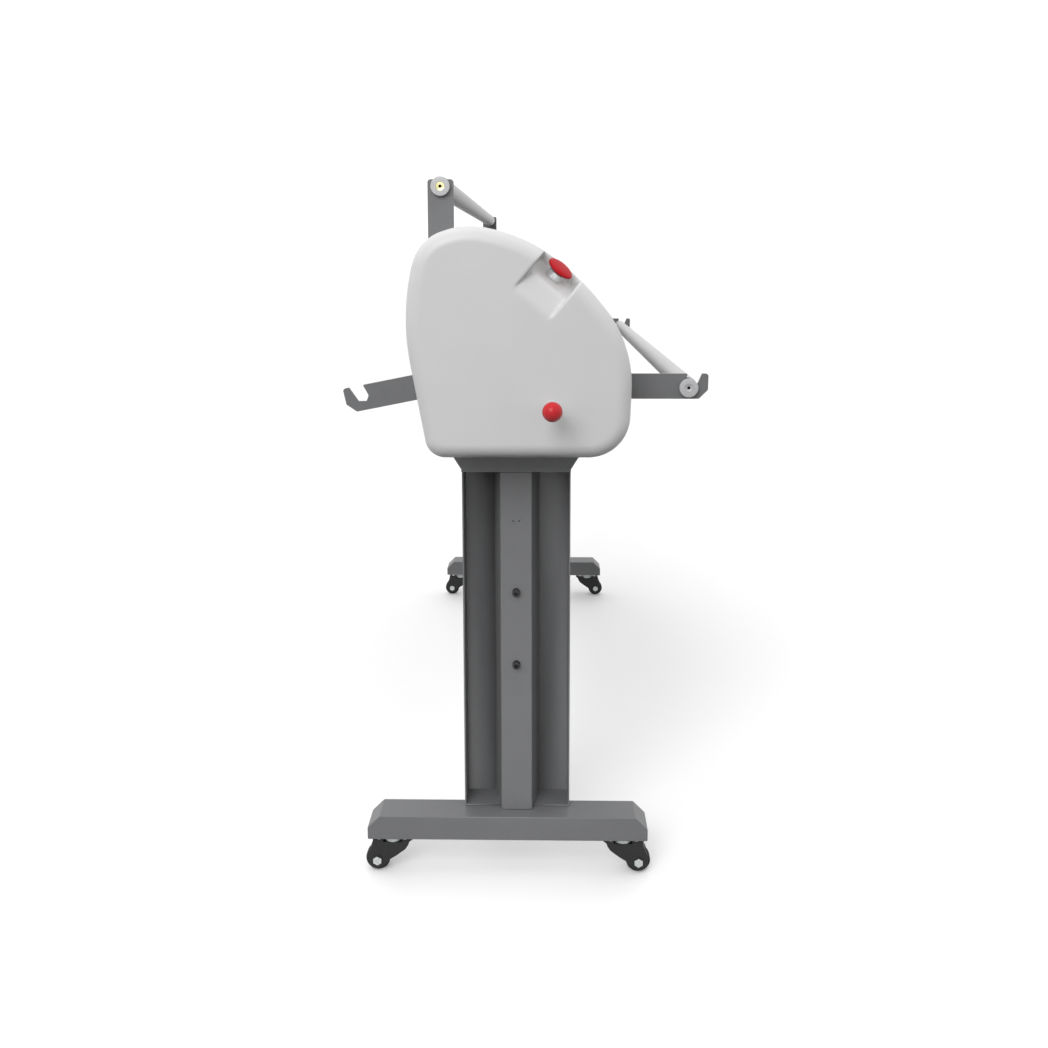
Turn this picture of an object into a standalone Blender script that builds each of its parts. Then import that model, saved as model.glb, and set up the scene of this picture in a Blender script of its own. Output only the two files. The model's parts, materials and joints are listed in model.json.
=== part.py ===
"""Cold roll laminator on a wheeled stand, for sign and vinyl work.

Metres, +Z up, origin on the floor under the middle of the whole machine's box. The rollers run
along X, the operator stands on the -Y side, and "left" is the -X end. The two ends are alike, apart
from the roller lift knob on the left and the motor, the speed control and the inlet on the right.
Every piece is placed from the middle of the stand, and one empty moves them all to the origin.
"""

import math

import bmesh
import bpy
from mathutils import Matrix, Vector

# ---- Driving dimensions ----

GAP = 0.0003                    # clearance left between pieces that touch
SIDES = (("left", -1), ("right", 1))
ENDS = (("front", -1), ("rear", 1))
BEYOND_X = 1.0                  # cutters that go right through the head reach this far

# Stand. Distances named *_X are measured outwards from the middle of the machine.
FOOT_CENTRE_Y = 0.0375
FOOT_LENGTH = 0.574
FOOT_INNER_X = 0.863
FOOT_OUTER_X = 0.933
FOOT_BOTTOM = 0.082
FOOT_TOP = 0.132
FOOT_CHAMFER = 0.025
SHEET = 0.003                   # thickness of the folded steel
COLUMN_Y = 0.0185
COLUMN_HALF_WIDTH = 0.1085
COLUMN_INNER_X = 0.822
COLUMN_OUTER_X = 0.888
COLUMN_TOP = 0.8445
POST_INNER_X = COLUMN_INNER_X + SHEET + GAP
POST_OUTER_X = 0.903
POST_BASE_HALF_WIDTH = 0.046    # where the post stands against the column's web
POST_HALF_WIDTH = 0.031         # at the post's outer face
SCREW_HOLE_RADIUS = 0.0016
DRAIN_RADIUS = 0.004
SADDLE_WALL = 0.004
SADDLE_KNEE = 0.8495            # height where the saddle starts to flare
SADDLE_TOP = 0.883
SADDLE_TOP_HALF_WIDTH = 0.1295
STRETCHER_LOW = 0.423
STRETCHER_HIGH = 0.623
STRETCHER_HALF_WIDTH = 0.030
STRETCHER_END_PLATE = 0.005
BOLT_HEIGHTS = (("lower", 0.4475), ("upper", 0.599))
BOLT_RADIUS = 0.005
BOLT_HEAD_RADIUS = 0.008
BOLT_HEAD_HEIGHT = 0.010
BOLT_TIP_X = 0.802
BOLT_SOCKET_RADIUS = 0.0046
BOLT_SOCKET_DEPTH = 0.006
SCREW_HOLE_HEIGHT = 0.745
SCREW_HOLE_SPACING = 0.012

# Swivel casters, 50 mm.
CASTER_X = 0.898
CASTER_SPREAD = 0.2385          # swivel axis from the middle of the foot
CASTER_TRAIL = 0.032
WHEEL_RADIUS = 0.025
WHEEL_HALF_WIDTH = 0.0115
FORK_HALF_WIDTH = 0.017
FORK_TOP = 0.0712
AXLE_RADIUS = 0.004
AXLE_HEAD = 0.005               # the axle's ends stand this far out of the fork
CASTER_PLATE = (0.058, 0.068, 0.0025)
RACE_RADIUS = 0.0185
RACE_BOTTOM = 0.0650

# Head: side plates, cross members and covers.
SIDE_PLATE_X = 0.905
SIDE_PLATE_THICKNESS = 0.008
INNER_X = SIDE_PLATE_X - GAP
BEAM_BOTTOM = SADDLE_TOP + GAP
TABLE_TOP = 1.010
TABLE_FRONT = -0.1885
TABLE_BACK = -0.045
TABLE_LIP_BOTTOM = 0.930
TABLE_NOTCH_Y = -0.072          # the table's notches and the front beam's shelf end here
FRONT_WEB_Y = -0.108
FRONT_FLANGE_Y = -0.045
REAR_WEB_Y = 0.165
REAR_FLANGE = 0.080
EXIT_TABLE_TOP = 1.000
COVER_OUTER_X = 1.055
COVER_WALL = 0.004
COVER_EDGE_RADIUS = 0.028
PLATE_INSET = 0.006             # the side plate stands this far inside the cover's outline
# Corners of the cover's outline as y, z, corner radius. Wide arcs run into each other.
COVER_CORNERS = (
    (0.1770, 0.898, 0.038),
    (0.2245, 1.159, 0.440),
    (0.1920, 1.2965, 0.084),
    (0.1090, 1.3240, 0.137),
    (-0.0050, 1.3060, 0.300),
    (-0.1060, 1.2230, 0.470),
    (-0.2000, 1.1090, 0.225),
    (-0.1925, 0.8985, 0.077),
)

# Emergency stops, each in a scoop on the sloping front of its cover.
SLOPE = math.radians(40.3)
STOP_TILT = math.radians(20.0)
SCOOP_ORIGIN = (-0.0723, 1.2507)    # y, z of the slope's surface at the button
SCOOP_HALF_WIDTH = 0.042
SCOOP_BACK = 0.088                  # inwards from the end face
SCOOP_LIP = 0.020
STOP_SEAT = (0.0646, -0.0293)       # inwards from the end face, along the slope's normal
STOP_HOLE_RADIUS = 0.0114
STOP_COLLAR_RADIUS = 0.0165
STOP_CAP_RADIUS = 0.0262

# Rollers and their bearings.
ROLLER_Y = 0.020
BOTTOM_AXIS_Z = 0.945
TOP_AXIS_Z = 1.0655
ROLLER_RADIUS = 0.060
CORE_RADIUS = 0.050
CORE_WALL = 0.008
ROLLER_HALF_FACE = 0.850
JOURNAL_RADIUS = 0.015
JOURNAL_CLEARANCE = 0.0003
BEARING_HALF_WIDTH = 0.045
BEARING_INNER_X = 0.9135
BEARING_OUTER_X = 0.9365
CARRIAGE_TRAVEL = 0.012

# Roller lift: a knob and rod that slide along X carry a wedge under each top bearing.
ROD_Y = -0.051
ROD_Z = 0.998
ROD_RADIUS = 0.006
ROD_INNER_END_X = 0.985
KNOB_X = -1.130
KNOB_RADIUS = 0.0178
KNOB_FLAT = 0.0159              # the knob is cut flat this far behind its centre
KNOB_BORE_END = 0.004
# The knob makes the machine longer on the left, so its middle stands this far from the origin.
MIDDLE_X = (-KNOB_X + KNOB_RADIUS - COVER_OUTER_X) / 2
WEDGE_SLOPE = 0.25
WEDGE_LOW = 1.009
WEDGE_BOTTOM = 0.988
WEDGE_HALF_WIDTH = 0.015

# Media arms and tubes.
ARM_INNER_X = SIDE_PLATE_X + SIDE_PLATE_THICKNESS + GAP
ARM_THICKNESS = 0.006
ARM_WIDTH = 0.049
FRONT_ARM_CORNER = (-0.336, 0.9928)     # lower outer corner before its chamfer
REAR_ARM_CORNER = (0.3275, 0.967)
REAR_ARM_DROOP = math.radians(11.3)
ARM_LENGTH = 0.252
TUBE_SEAT = (-0.0205, 0.022)            # tube axis from the arm's corner: outwards, up
SUPPLY_TUBE_YZ = (0.1595, 1.3976)
BRACKET_HALF_WIDTH = 0.0247
BRACKET_Z = (1.066, 1.411)
TUBE_RADIUS = 0.019
TUBE_BORE = 0.0165
TUBE_END_X = 0.9045
PIN_RADIUS = 0.004
PIN_BORE = 0.0015
DISC_RADIUS = 0.018
DISC_INNER_X = 0.9215
DISC_OUTER_X = 0.9295

# Drive, control and mains inlet, at the right end.
MOTOR_OUTER_X = 1.030
INLET_X = 0.700
INLET_Z = 0.940
INLET_FLANGE = (0.050, 0.031, 0.003)
INLET_BODY = (0.030, 0.024, 0.022)
INLET_WALL = 0.003
PANEL_X = (0.660, 0.840)
PANEL_Z = (0.935, 0.991)
PANEL_FRONT = -0.2085
DIAL_X = 0.800
DIAL_RADIUS = 0.014
DIAL_DEPTH = 0.015


# ---- Scene and materials ----

for leftover in list(bpy.data.objects):
    bpy.data.objects.remove(leftover, do_unlink=True)

parts = bpy.data.collections.new("cold_roll_laminator")
cutters = bpy.data.collections.new("cutters")
for collection in (parts, cutters):
    bpy.context.scene.collection.children.link(collection)

FINISHES = {
    # name: colour, metallic, roughness
    "stand_paint": ((0.165, 0.168, 0.172), 0.0, 0.50),
    "arm_paint": ((0.165, 0.168, 0.172), 0.0, 0.50),
    "cover_plastic": ((0.62, 0.62, 0.61), 0.0, 0.45),
    "red_plastic": ((0.62, 0.025, 0.030), 0.0, 0.30),
    "black_plastic": ((0.020, 0.020, 0.021), 0.0, 0.45),
    "black_rubber": ((0.018, 0.018, 0.018), 0.0, 0.80),
    "grey_rubber": ((0.33, 0.33, 0.33), 0.0, 0.75),
    "zinc": ((0.62, 0.64, 0.65), 1.0, 0.35),
    "steel": ((0.50, 0.50, 0.50), 1.0, 0.30),
    "black_oxide": ((0.030, 0.030, 0.032), 0.6, 0.40),
    "tube_aluminium": ((0.66, 0.66, 0.66), 1.0, 0.40),
    "motor_grey": ((0.10, 0.11, 0.12), 0.2, 0.55),
}


def make_material(name):
    """One Principled material, from the table of finishes."""
    colour, metallic, roughness = FINISHES[name]
    material = bpy.data.materials.new(name)
    material.use_nodes = True
    shader = material.node_tree.nodes["Principled BSDF"]
    shader.inputs["Base Color"].default_value = (*colour, 1.0)
    shader.inputs["Metallic"].default_value = metallic
    shader.inputs["Roughness"].default_value = roughness
    material.diffuse_color = (*colour, 1.0)
    return material


MATERIALS = {name: make_material(name) for name in FINISHES}


# ---- Modelling helpers ----

def add(name, mesh, finish=None, origin=(0.0, 0.0, 0.0)):
    """Link a mesh as a part, or as a cutter when it has no finish."""
    piece = bpy.data.objects.new(name, mesh)
    piece.location = origin
    if finish is None:
        cutters.objects.link(piece)
        piece.hide_render = True
        piece.display_type = "WIRE"
    else:
        parts.objects.link(piece)
        mesh.materials.append(MATERIALS[finish])
    return piece


def box(name, low, high, finish=None, origin=(0.0, 0.0, 0.0)):
    """Box between two corners, with its object's origin where asked."""
    low, high, origin = Vector(low), Vector(high), Vector(origin)
    shape = bmesh.new()
    bmesh.ops.create_cube(shape, size=1.0)
    bmesh.ops.scale(shape, vec=high - low, verts=shape.verts)
    bmesh.ops.translate(shape, vec=(low + high) / 2 - origin, verts=shape.verts)
    mesh = bpy.data.meshes.new(name)
    shape.to_mesh(mesh)
    shape.free()
    return add(name, mesh, finish, origin)


def side_box(name, side, x_range, y_range, z_range, finish=None, origin=(0.0, 0.0, 0.0)):
    """Box at one end of the machine, with x_range measured outwards from the middle."""
    x_low, x_high = sorted((side * x_range[0], side * x_range[1]))
    low = (x_low, y_range[0], z_range[0])
    high = (x_high, y_range[1], z_range[1])
    return box(name, low, high, finish, origin)


def rod(name, start, end, radius, finish=None, sides=20):
    """Round bar between two points."""
    start, end = Vector(start), Vector(end)
    shape = bmesh.new()
    bmesh.ops.create_cone(shape, cap_ends=True, segments=sides, radius1=radius, radius2=radius,
                          depth=(end - start).length)
    mesh = bpy.data.meshes.new(name)
    shape.to_mesh(mesh)
    shape.free()
    mesh.shade_smooth()
    mesh.set_sharp_from_angle(angle=math.radians(40))
    piece = add(name, mesh, finish, (start + end) / 2)
    piece.rotation_euler = (end - start).to_track_quat("Z", "Y").to_euler()
    return piece


def turned(name, profile, centre, axis, finish=None, steps=24, ring=False):
    """Turn a profile of (radius, height) points, which runs down its outer side, about an axis."""
    mesh = bpy.data.meshes.new(name)
    points = [(radius, 0.0, height) for radius, height in profile]
    edges = [(i, i + 1) for i in range(len(points) - 1)]
    if ring:
        edges.append((len(points) - 1, 0))
    mesh.from_pydata(points, edges, [])
    piece = add(name, mesh, finish, centre)
    piece.rotation_euler = Vector(axis).to_track_quat("Z", "Y").to_euler()
    screw = piece.modifiers.new("turn", "SCREW")
    screw.steps = steps
    screw.render_steps = steps
    screw.use_merge_vertices = True
    screw.merge_threshold = 0.00001
    screw.use_smooth_shade = True
    return piece


def flat_piece(name, outline, thickness, placement, finish=None, origin=None):
    """Flat outline given thickness: drawn in a matrix's own XY plane, thick along its Z."""
    curve = bpy.data.curves.new(name + "_outline", "CURVE")
    curve.dimensions = "2D"
    curve.fill_mode = "BOTH"
    curve.extrude = thickness / 2
    spline = curve.splines.new("POLY")
    spline.points.add(len(outline) - 1)
    for point, (across, up) in zip(spline.points, outline):
        point.co = (across, up, 0.0, 1.0)
    spline.use_cyclic_u = True
    guide = bpy.data.objects.new(name + "_outline", curve)
    cutters.objects.link(guide)
    guide.matrix_world = placement
    bpy.context.view_layer.update()
    evaluated = guide.evaluated_get(bpy.context.evaluated_depsgraph_get())
    mesh = bpy.data.meshes.new_from_object(evaluated)
    mesh.name = name
    shape = bmesh.new()
    shape.from_mesh(mesh)
    bmesh.ops.remove_doubles(shape, verts=shape.verts, dist=0.00001)
    bmesh.ops.recalc_face_normals(shape, faces=shape.faces)
    if origin is not None:
        shape.transform(Matrix.Translation(-Vector(origin)) @ placement)
    shape.to_mesh(mesh)
    shape.free()
    piece = add(name, mesh, finish)
    piece.matrix_world = placement if origin is None else Matrix.Translation(origin)
    bpy.data.objects.remove(guide)
    bpy.data.curves.remove(curve)
    return piece


def end_plate(name, outline, x_low, x_high, finish=None, origin=None):
    """Flat piece whose outline of (y, z) points stands across the machine."""
    stand_up = Matrix(((0, 0, 1, (x_low + x_high) / 2), (1, 0, 0, 0), (0, 1, 0, 0), (0, 0, 0, 1)))
    return flat_piece(name, outline, x_high - x_low, stand_up, finish, origin)


def cut(piece, cutter, operation="DIFFERENCE"):
    """Boolean between a piece and a cutter."""
    boolean = piece.modifiers.new(cutter.name, "BOOLEAN")
    boolean.operation = operation
    boolean.solver = "EXACT"
    boolean.object = cutter


def rounded(corners, inset=0.0, step=math.radians(15)):
    """Outline through corners of (across, up, radius), shrunk by an inset smaller than each radius."""
    outline = []
    count = len(corners)
    for index, (across, up, radius) in enumerate(corners):
        corner = Vector((across, up))
        if radius <= 0.0:
            outline.append(tuple(corner))
            continue
        before = (Vector(corners[index - 1][:2]) - corner).normalized()
        after = (Vector(corners[(index + 1) % count][:2]) - corner).normalized()
        half = before.angle(after) / 2
        centre = corner + (before + after).normalized() * radius / math.sin(half)
        start = corner + before * radius / math.tan(half) - centre
        turn = math.pi - 2 * half
        if before.x * after.y - before.y * after.x > 0:
            turn = -turn
        pieces = max(1, round(abs(turn) / step))
        for k in range(pieces + 1):
            angle = turn * k / pieces
            spoke = Matrix.Rotation(angle, 2) @ start
            outline.append(tuple(centre + spoke * (radius - inset) / radius))
    return outline


def loft(name, rings, finish=None):
    """Closed solid through rings that all have the same number of points."""
    shape = bmesh.new()
    loops = []
    for ring in rings:
        verts = [shape.verts.new(point) for point in ring]
        edges = [shape.edges.new((verts[i - 1], verts[i])) for i in range(len(verts))]
        loops.append((verts, edges))
    for (_, lower), (_, upper) in zip(loops, loops[1:]):
        bmesh.ops.bridge_loops(shape, edges=lower + upper)
    for verts, _ in (loops[0], loops[-1]):
        shape.faces.new(verts)
    bmesh.ops.recalc_face_normals(shape, faces=shape.faces)
    mesh = bpy.data.meshes.new(name)
    shape.to_mesh(mesh)
    shape.free()
    mesh.shade_smooth()
    mesh.set_sharp_from_angle(angle=math.radians(35))
    return add(name, mesh, finish)


# ---- Stand ----

def foot_outline(inset):
    """End view of a foot: a bar with its two upper corners cut off."""
    front = FOOT_CENTRE_Y - FOOT_LENGTH / 2 + inset
    rear = FOOT_CENTRE_Y + FOOT_LENGTH / 2 - inset
    low = FOOT_BOTTOM + inset
    high = FOOT_TOP - inset
    return [(front, low), (rear, low), (rear, high - FOOT_CHAMFER), (rear - FOOT_CHAMFER, high),
            (front + FOOT_CHAMFER, high), (front, high - FOOT_CHAMFER)]


def make_foot(label, side):
    """Closed box section with chamfered ends and a drain hole underneath."""
    x_low, x_high = sorted((side * FOOT_INNER_X, side * FOOT_OUTER_X))
    foot = end_plate(label + "_foot", foot_outline(0.0), x_low, x_high, "stand_paint")
    hollow = end_plate(label + "_foot_hollow", foot_outline(SHEET), x_low + SHEET, x_high - SHEET)
    drain = rod(label + "_foot_drain", (side * CASTER_X, FOOT_CENTRE_Y, FOOT_BOTTOM - SHEET),
                (side * CASTER_X, FOOT_CENTRE_Y, FOOT_BOTTOM + 2 * SHEET), DRAIN_RADIUS, sides=12)
    cut(foot, hollow)
    cut(foot, drain)


def bolt_hole_cutter(label, side, level, height):
    """Clearance hole for one stretcher bolt, right through the post, column and end plate."""
    return rod("_".join((label, level, "bolt_hole")), (side * 0.80, COLUMN_Y, height),
               (side * 0.92, COLUMN_Y, height), BOLT_RADIUS + 0.0004, sides=16)


def post_section(side, grow=0.0):
    """Corners of the post's section as x, y: its sides lean in towards its outer face."""
    base = POST_BASE_HALF_WIDTH + grow
    face = POST_HALF_WIDTH + grow
    return [(side * (POST_INNER_X - grow), COLUMN_Y - base), (side * (POST_OUTER_X + grow), COLUMN_Y - face),
            (side * (POST_OUTER_X + grow), COLUMN_Y + face), (side * (POST_INNER_X - grow), COLUMN_Y + base)]


def make_column(label, side):
    """Upright channel open outwards, closed below and above, with a tapered post in its middle."""
    base = FOOT_TOP + GAP
    top = COLUMN_TOP - GAP
    inner = COLUMN_HALF_WIDTH - SHEET
    beyond = 0.02
    column = side_box(label + "_column", side, (COLUMN_INNER_X, COLUMN_OUTER_X),
                      (COLUMN_Y - COLUMN_HALF_WIDTH, COLUMN_Y + COLUMN_HALF_WIDTH),
                      (base, top), "stand_paint")
    cut(column, side_box(label + "_column_hollow", side,
                         (COLUMN_INNER_X + SHEET, COLUMN_OUTER_X + beyond),
                         (COLUMN_Y - inner, COLUMN_Y + inner), (base + SHEET, top - SHEET)))
    halfway = Matrix.Translation((0.0, 0.0, (base + top) / 2))
    cut(column, flat_piece(label + "_post_slot", post_section(side, GAP), top - base + beyond, halfway))

    slant = math.atan((POST_BASE_HALF_WIDTH - POST_HALF_WIDTH) / (POST_OUTER_X - POST_INNER_X))
    wall = SHEET / math.cos(slant)
    inner_base = POST_BASE_HALF_WIDTH - wall
    inner_face = POST_HALF_WIDTH + SHEET * math.tan(slant) - wall
    inner_x = side * (POST_OUTER_X - SHEET)
    section = post_section(side)
    section += [(side * POST_INNER_X, COLUMN_Y + inner_base), (inner_x, COLUMN_Y + inner_face),
                (inner_x, COLUMN_Y - inner_face), (side * POST_INNER_X, COLUMN_Y - inner_base)]
    post = flat_piece(label + "_post", section, top - base, halfway, "stand_paint")
    reach = 2 * SHEET
    for number, offset in enumerate((-SCREW_HOLE_SPACING / 2, SCREW_HOLE_SPACING / 2)):
        cut(post, rod(f"{label}_screw_hole_{number}",
                      (side * (POST_OUTER_X - reach), COLUMN_Y + offset, SCREW_HOLE_HEIGHT),
                      (side * (POST_OUTER_X + reach), COLUMN_Y + offset, SCREW_HOLE_HEIGHT),
                      SCREW_HOLE_RADIUS, sides=8))
    return column, post


def make_saddle(label, side):
    """Flared head on the column, open underneath, that carries the beams."""
    outline = []
    for way in (-1, 1):
        flank = [(COLUMN_Y + way * COLUMN_HALF_WIDTH, COLUMN_TOP),
                 (COLUMN_Y + way * COLUMN_HALF_WIDTH, SADDLE_KNEE),
                 (COLUMN_Y + way * SADDLE_TOP_HALF_WIDTH, SADDLE_TOP)]
        outline += flank if way < 0 else flank[::-1]
    x_low, x_high = sorted((side * COLUMN_INNER_X, side * INNER_X))
    saddle = end_plate(label + "_saddle", outline, x_low, x_high, "stand_paint")
    inner = COLUMN_HALF_WIDTH - SADDLE_WALL
    cut(saddle, side_box(label + "_saddle_hollow", side,
                         (COLUMN_INNER_X + SADDLE_WALL, INNER_X - SADDLE_WALL),
                         (COLUMN_Y - inner, COLUMN_Y + inner),
                         (COLUMN_TOP - SADDLE_WALL, SADDLE_TOP - SADDLE_WALL)))


def make_stretcher():
    """Box beam between the columns, with end plates that the bolts screw into."""
    half_length = COLUMN_INNER_X - GAP
    stretcher = box("stretcher", (-half_length, COLUMN_Y - STRETCHER_HALF_WIDTH, STRETCHER_LOW),
                    (half_length, COLUMN_Y + STRETCHER_HALF_WIDTH, STRETCHER_HIGH), "stand_paint")
    inner = STRETCHER_HALF_WIDTH - SHEET
    half_length -= STRETCHER_END_PLATE
    cut(stretcher, box("stretcher_hollow", (-half_length, COLUMN_Y - inner, STRETCHER_LOW + SHEET),
                       (half_length, COLUMN_Y + inner, STRETCHER_HIGH - SHEET)))
    return stretcher


def make_bolt(label, side, level, height):
    """Socket-head bolt from the post into the stretcher."""
    shank_length = POST_OUTER_X - BOLT_TIP_X
    chamfer = 0.001
    profile = [(0.0, BOLT_HEAD_HEIGHT), (BOLT_HEAD_RADIUS - chamfer, BOLT_HEAD_HEIGHT),
               (BOLT_HEAD_RADIUS, BOLT_HEAD_HEIGHT - chamfer), (BOLT_HEAD_RADIUS, 0.0),
               (BOLT_RADIUS, 0.0), (BOLT_RADIUS, -shank_length), (0.0, -shank_length)]
    seat = (side * (POST_OUTER_X + GAP), COLUMN_Y, height)
    bolt = turned("_".join((label, level, "bolt")), profile, seat, (side, 0, 0), "black_oxide", steps=16)
    head_end = POST_OUTER_X + GAP + BOLT_HEAD_HEIGHT
    socket = rod("_".join((label, level, "socket")),
                 (side * (head_end - BOLT_SOCKET_DEPTH), COLUMN_Y, height),
                 (side * (head_end + BOLT_SOCKET_DEPTH), COLUMN_Y, height), BOLT_SOCKET_RADIUS, sides=6)
    cut(bolt, socket)


# ---- Casters ----

def fork_outline(outwards):
    """Side view of a caster's fork from its swivel axis: a horn that ends round the wheel's hub."""
    trail = CASTER_TRAIL
    corners = [(-0.041, FORK_TOP, 0.0), (-0.041, 0.0690, 0.0), (-0.030, 0.0600, 0.008),
               (-0.012, 0.036, 0.060), (trail - 0.0165, 0.016, 0.014), (trail - 0.004, 0.0065, 0.010),
               (trail + 0.017, 0.0065, 0.014), (trail + 0.0195, 0.036, 0.030), (0.0425, 0.0600, 0.012),
               (0.041, FORK_TOP, 0.0)]
    return [(outwards * across, up) for across, up in rounded(corners, step=math.radians(22))]


def make_caster(label, side, end, outwards):
    """Swivel caster: top plate with its race, fork with its axle, and wheel."""
    name = "_".join((label, end, "caster"))
    swivel = Vector((side * CASTER_X, FOOT_CENTRE_Y + outwards * CASTER_SPREAD, 0.0))
    hub = swivel + Vector((0.0, outwards * CASTER_TRAIL, WHEEL_RADIUS))
    plate_top = FOOT_BOTTOM - GAP
    plate_x, plate_y, plate_thickness = CASTER_PLATE
    half_plate = Vector((plate_x / 2, plate_y / 2, 0.0))
    plate = box(name + "_plate", swivel - half_plate + Vector((0, 0, plate_top - plate_thickness)),
                swivel + half_plate + Vector((0, 0, plate_top)), "zinc", swivel)
    race_top = plate_top - plate_thickness / 2
    race = [(0.0, race_top), (RACE_RADIUS, race_top), (RACE_RADIUS, RACE_BOTTOM), (0.0, RACE_BOTTOM)]
    cut(plate, turned(name + "_race", race, swivel, (0, 0, 1)), "UNION")

    moved = [(across + swivel.y, up) for across, up in fork_outline(outwards)]
    fork = end_plate(name + "_fork", moved, swivel.x - FORK_HALF_WIDTH, swivel.x + FORK_HALF_WIDTH,
                     "black_plastic", swivel)
    half_pocket = RACE_RADIUS + 0.001
    cut(fork, box(name + "_pocket", swivel + Vector((-half_pocket, -half_pocket, RACE_BOTTOM - GAP)),
                  swivel + Vector((half_pocket, half_pocket, FORK_TOP + 0.001))))
    slot_half = WHEEL_HALF_WIDTH + 0.001
    clear_radius = WHEEL_RADIUS + 0.002
    slot_low = hub - Vector((slot_half, clear_radius, 2 * clear_radius))
    slot_high = hub + Vector((slot_half, clear_radius, clear_radius))
    cut(fork, box(name + "_wheel_slot", slot_low, slot_high))
    bolt_half = Vector((FORK_HALF_WIDTH + AXLE_HEAD, 0.0, 0.0))
    cut(fork, rod(name + "_axle", hub - bolt_half, hub + bolt_half, AXLE_RADIUS, sides=12), "UNION")

    bore = AXLE_RADIUS + GAP
    shoulder = WHEEL_RADIUS - 0.0025
    flat = WHEEL_HALF_WIDTH - 0.0035
    tread = [(bore, WHEEL_HALF_WIDTH), (shoulder, WHEEL_HALF_WIDTH), (WHEEL_RADIUS, flat),
             (WHEEL_RADIUS, -flat), (shoulder, -WHEEL_HALF_WIDTH), (bore, -WHEEL_HALF_WIDTH)]
    turned(name + "_wheel", tread, hub, (1, 0, 0), "black_rubber", steps=28, ring=True)


# ---- Head frame ----

def make_side_plate(label, side, openings):
    """Steel plate that carries the bearings, just inside the cover's outline."""
    x_low, x_high = sorted((side * SIDE_PLATE_X, side * (SIDE_PLATE_X + SIDE_PLATE_THICKNESS)))
    plate = end_plate(label + "_side_plate", rounded(COVER_CORNERS, PLATE_INSET), x_low, x_high,
                      "stand_paint")
    for opening in openings:
        cut(plate, opening)


def side_plate_openings():
    """Holes through both side plates: bottom shaft, top shaft's slot and the wedge's window."""
    slot_radius = JOURNAL_RADIUS + 0.003
    shaft = rod("shaft_hole", (-BEYOND_X, ROLLER_Y, BOTTOM_AXIS_Z), (BEYOND_X, ROLLER_Y, BOTTOM_AXIS_Z),
                slot_radius, sides=24)
    low = TOP_AXIS_Z - slot_radius
    high = TOP_AXIS_Z + CARRIAGE_TRAVEL + slot_radius
    bend = slot_radius * 0.999      # a full half circle would make two points fall together
    near, far = ROLLER_Y - slot_radius, ROLLER_Y + slot_radius
    slot = [(near, low, bend), (far, low, bend), (far, high, bend), (near, high, bend)]
    carriage_slot = end_plate("carriage_slot", rounded(slot), -BEYOND_X, BEYOND_X)
    window = box("wedge_window", (-BEYOND_X, ROD_Y - WEDGE_HALF_WIDTH - 0.004, WEDGE_BOTTOM - GAP),
                 (BEYOND_X, ROD_Y + WEDGE_HALF_WIDTH + 0.006, WEDGE_LOW + 0.024))
    return shaft, carriage_slot, window


def make_beams():
    """Folded front and rear cross members; the rear one's top flange is the exit table."""
    beam_top = TABLE_TOP - SHEET - GAP
    front = box("front_beam", (-INNER_X, FRONT_WEB_Y, BEAM_BOTTOM),
                (INNER_X, FRONT_FLANGE_Y, beam_top), "stand_paint")
    cut(front, box("front_beam_hollow", (-BEYOND_X, FRONT_WEB_Y + SHEET, BEAM_BOTTOM + SHEET),
                   (BEYOND_X, 0.0, beam_top - SHEET)))
    cut(front, box("front_beam_trim", (-BEYOND_X, TABLE_NOTCH_Y, beam_top - 2 * SHEET),
                   (BEYOND_X, 0.0, beam_top + SHEET)))
    rear = box("rear_beam", (-INNER_X, REAR_WEB_Y - REAR_FLANGE, BEAM_BOTTOM),
               (INNER_X, REAR_WEB_Y, EXIT_TABLE_TOP), "stand_paint")
    cut(rear, box("rear_beam_hollow", (-BEYOND_X, 0.0, BEAM_BOTTOM + SHEET),
                  (BEYOND_X, REAR_WEB_Y - SHEET, EXIT_TABLE_TOP - SHEET)))
    half_x, half_z = INLET_BODY[0] / 2 + 0.0005, INLET_BODY[1] / 2 + 0.0005
    cut(rear, box("inlet_opening", (INLET_X - half_x, REAR_WEB_Y - 2 * SHEET, INLET_Z - half_z),
                  (INLET_X + half_x, REAR_WEB_Y + SHEET, INLET_Z + half_z)))


def make_front_table():
    """Feed table with a folded front lip, notched at both ends for the wedges."""
    table = box("front_table", (-INNER_X, TABLE_FRONT, TABLE_LIP_BOTTOM),
                (INNER_X, TABLE_BACK, TABLE_TOP), "stand_paint")
    cut(table, box("table_underside", (-BEYOND_X, TABLE_FRONT + SHEET, TABLE_LIP_BOTTOM - SHEET),
                   (BEYOND_X, 0.0, TABLE_TOP - SHEET)))
    for label, side in SIDES:
        cut(table, side_box(label + "_table_notch", side, (ROLLER_HALF_FACE + 0.002, BEYOND_X),
                            (TABLE_NOTCH_Y, 0.0), (TABLE_TOP - 2 * SHEET, TABLE_TOP + SHEET)))


# ---- Covers and emergency stops ----

def cover_solid(name, side, inset, rim_x, finish=None):
    """The cover's outer form, or with an inset its inside, with a rounded edge round the end face."""
    radius = COVER_EDGE_RADIUS - inset
    stations = [(rim_x, inset), (COVER_OUTER_X - COVER_EDGE_RADIUS, inset)]
    for k in range(1, 5):
        angle = math.radians(90) * k / 4
        outwards = COVER_OUTER_X - COVER_EDGE_RADIUS + radius * math.sin(angle)
        stations.append((outwards, inset + radius * (1 - math.cos(angle))))
    rings = [[(side * x, y, z) for y, z in rounded(COVER_CORNERS, shrink)] for x, shrink in stations]
    return loft(name, rings, finish)


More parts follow.
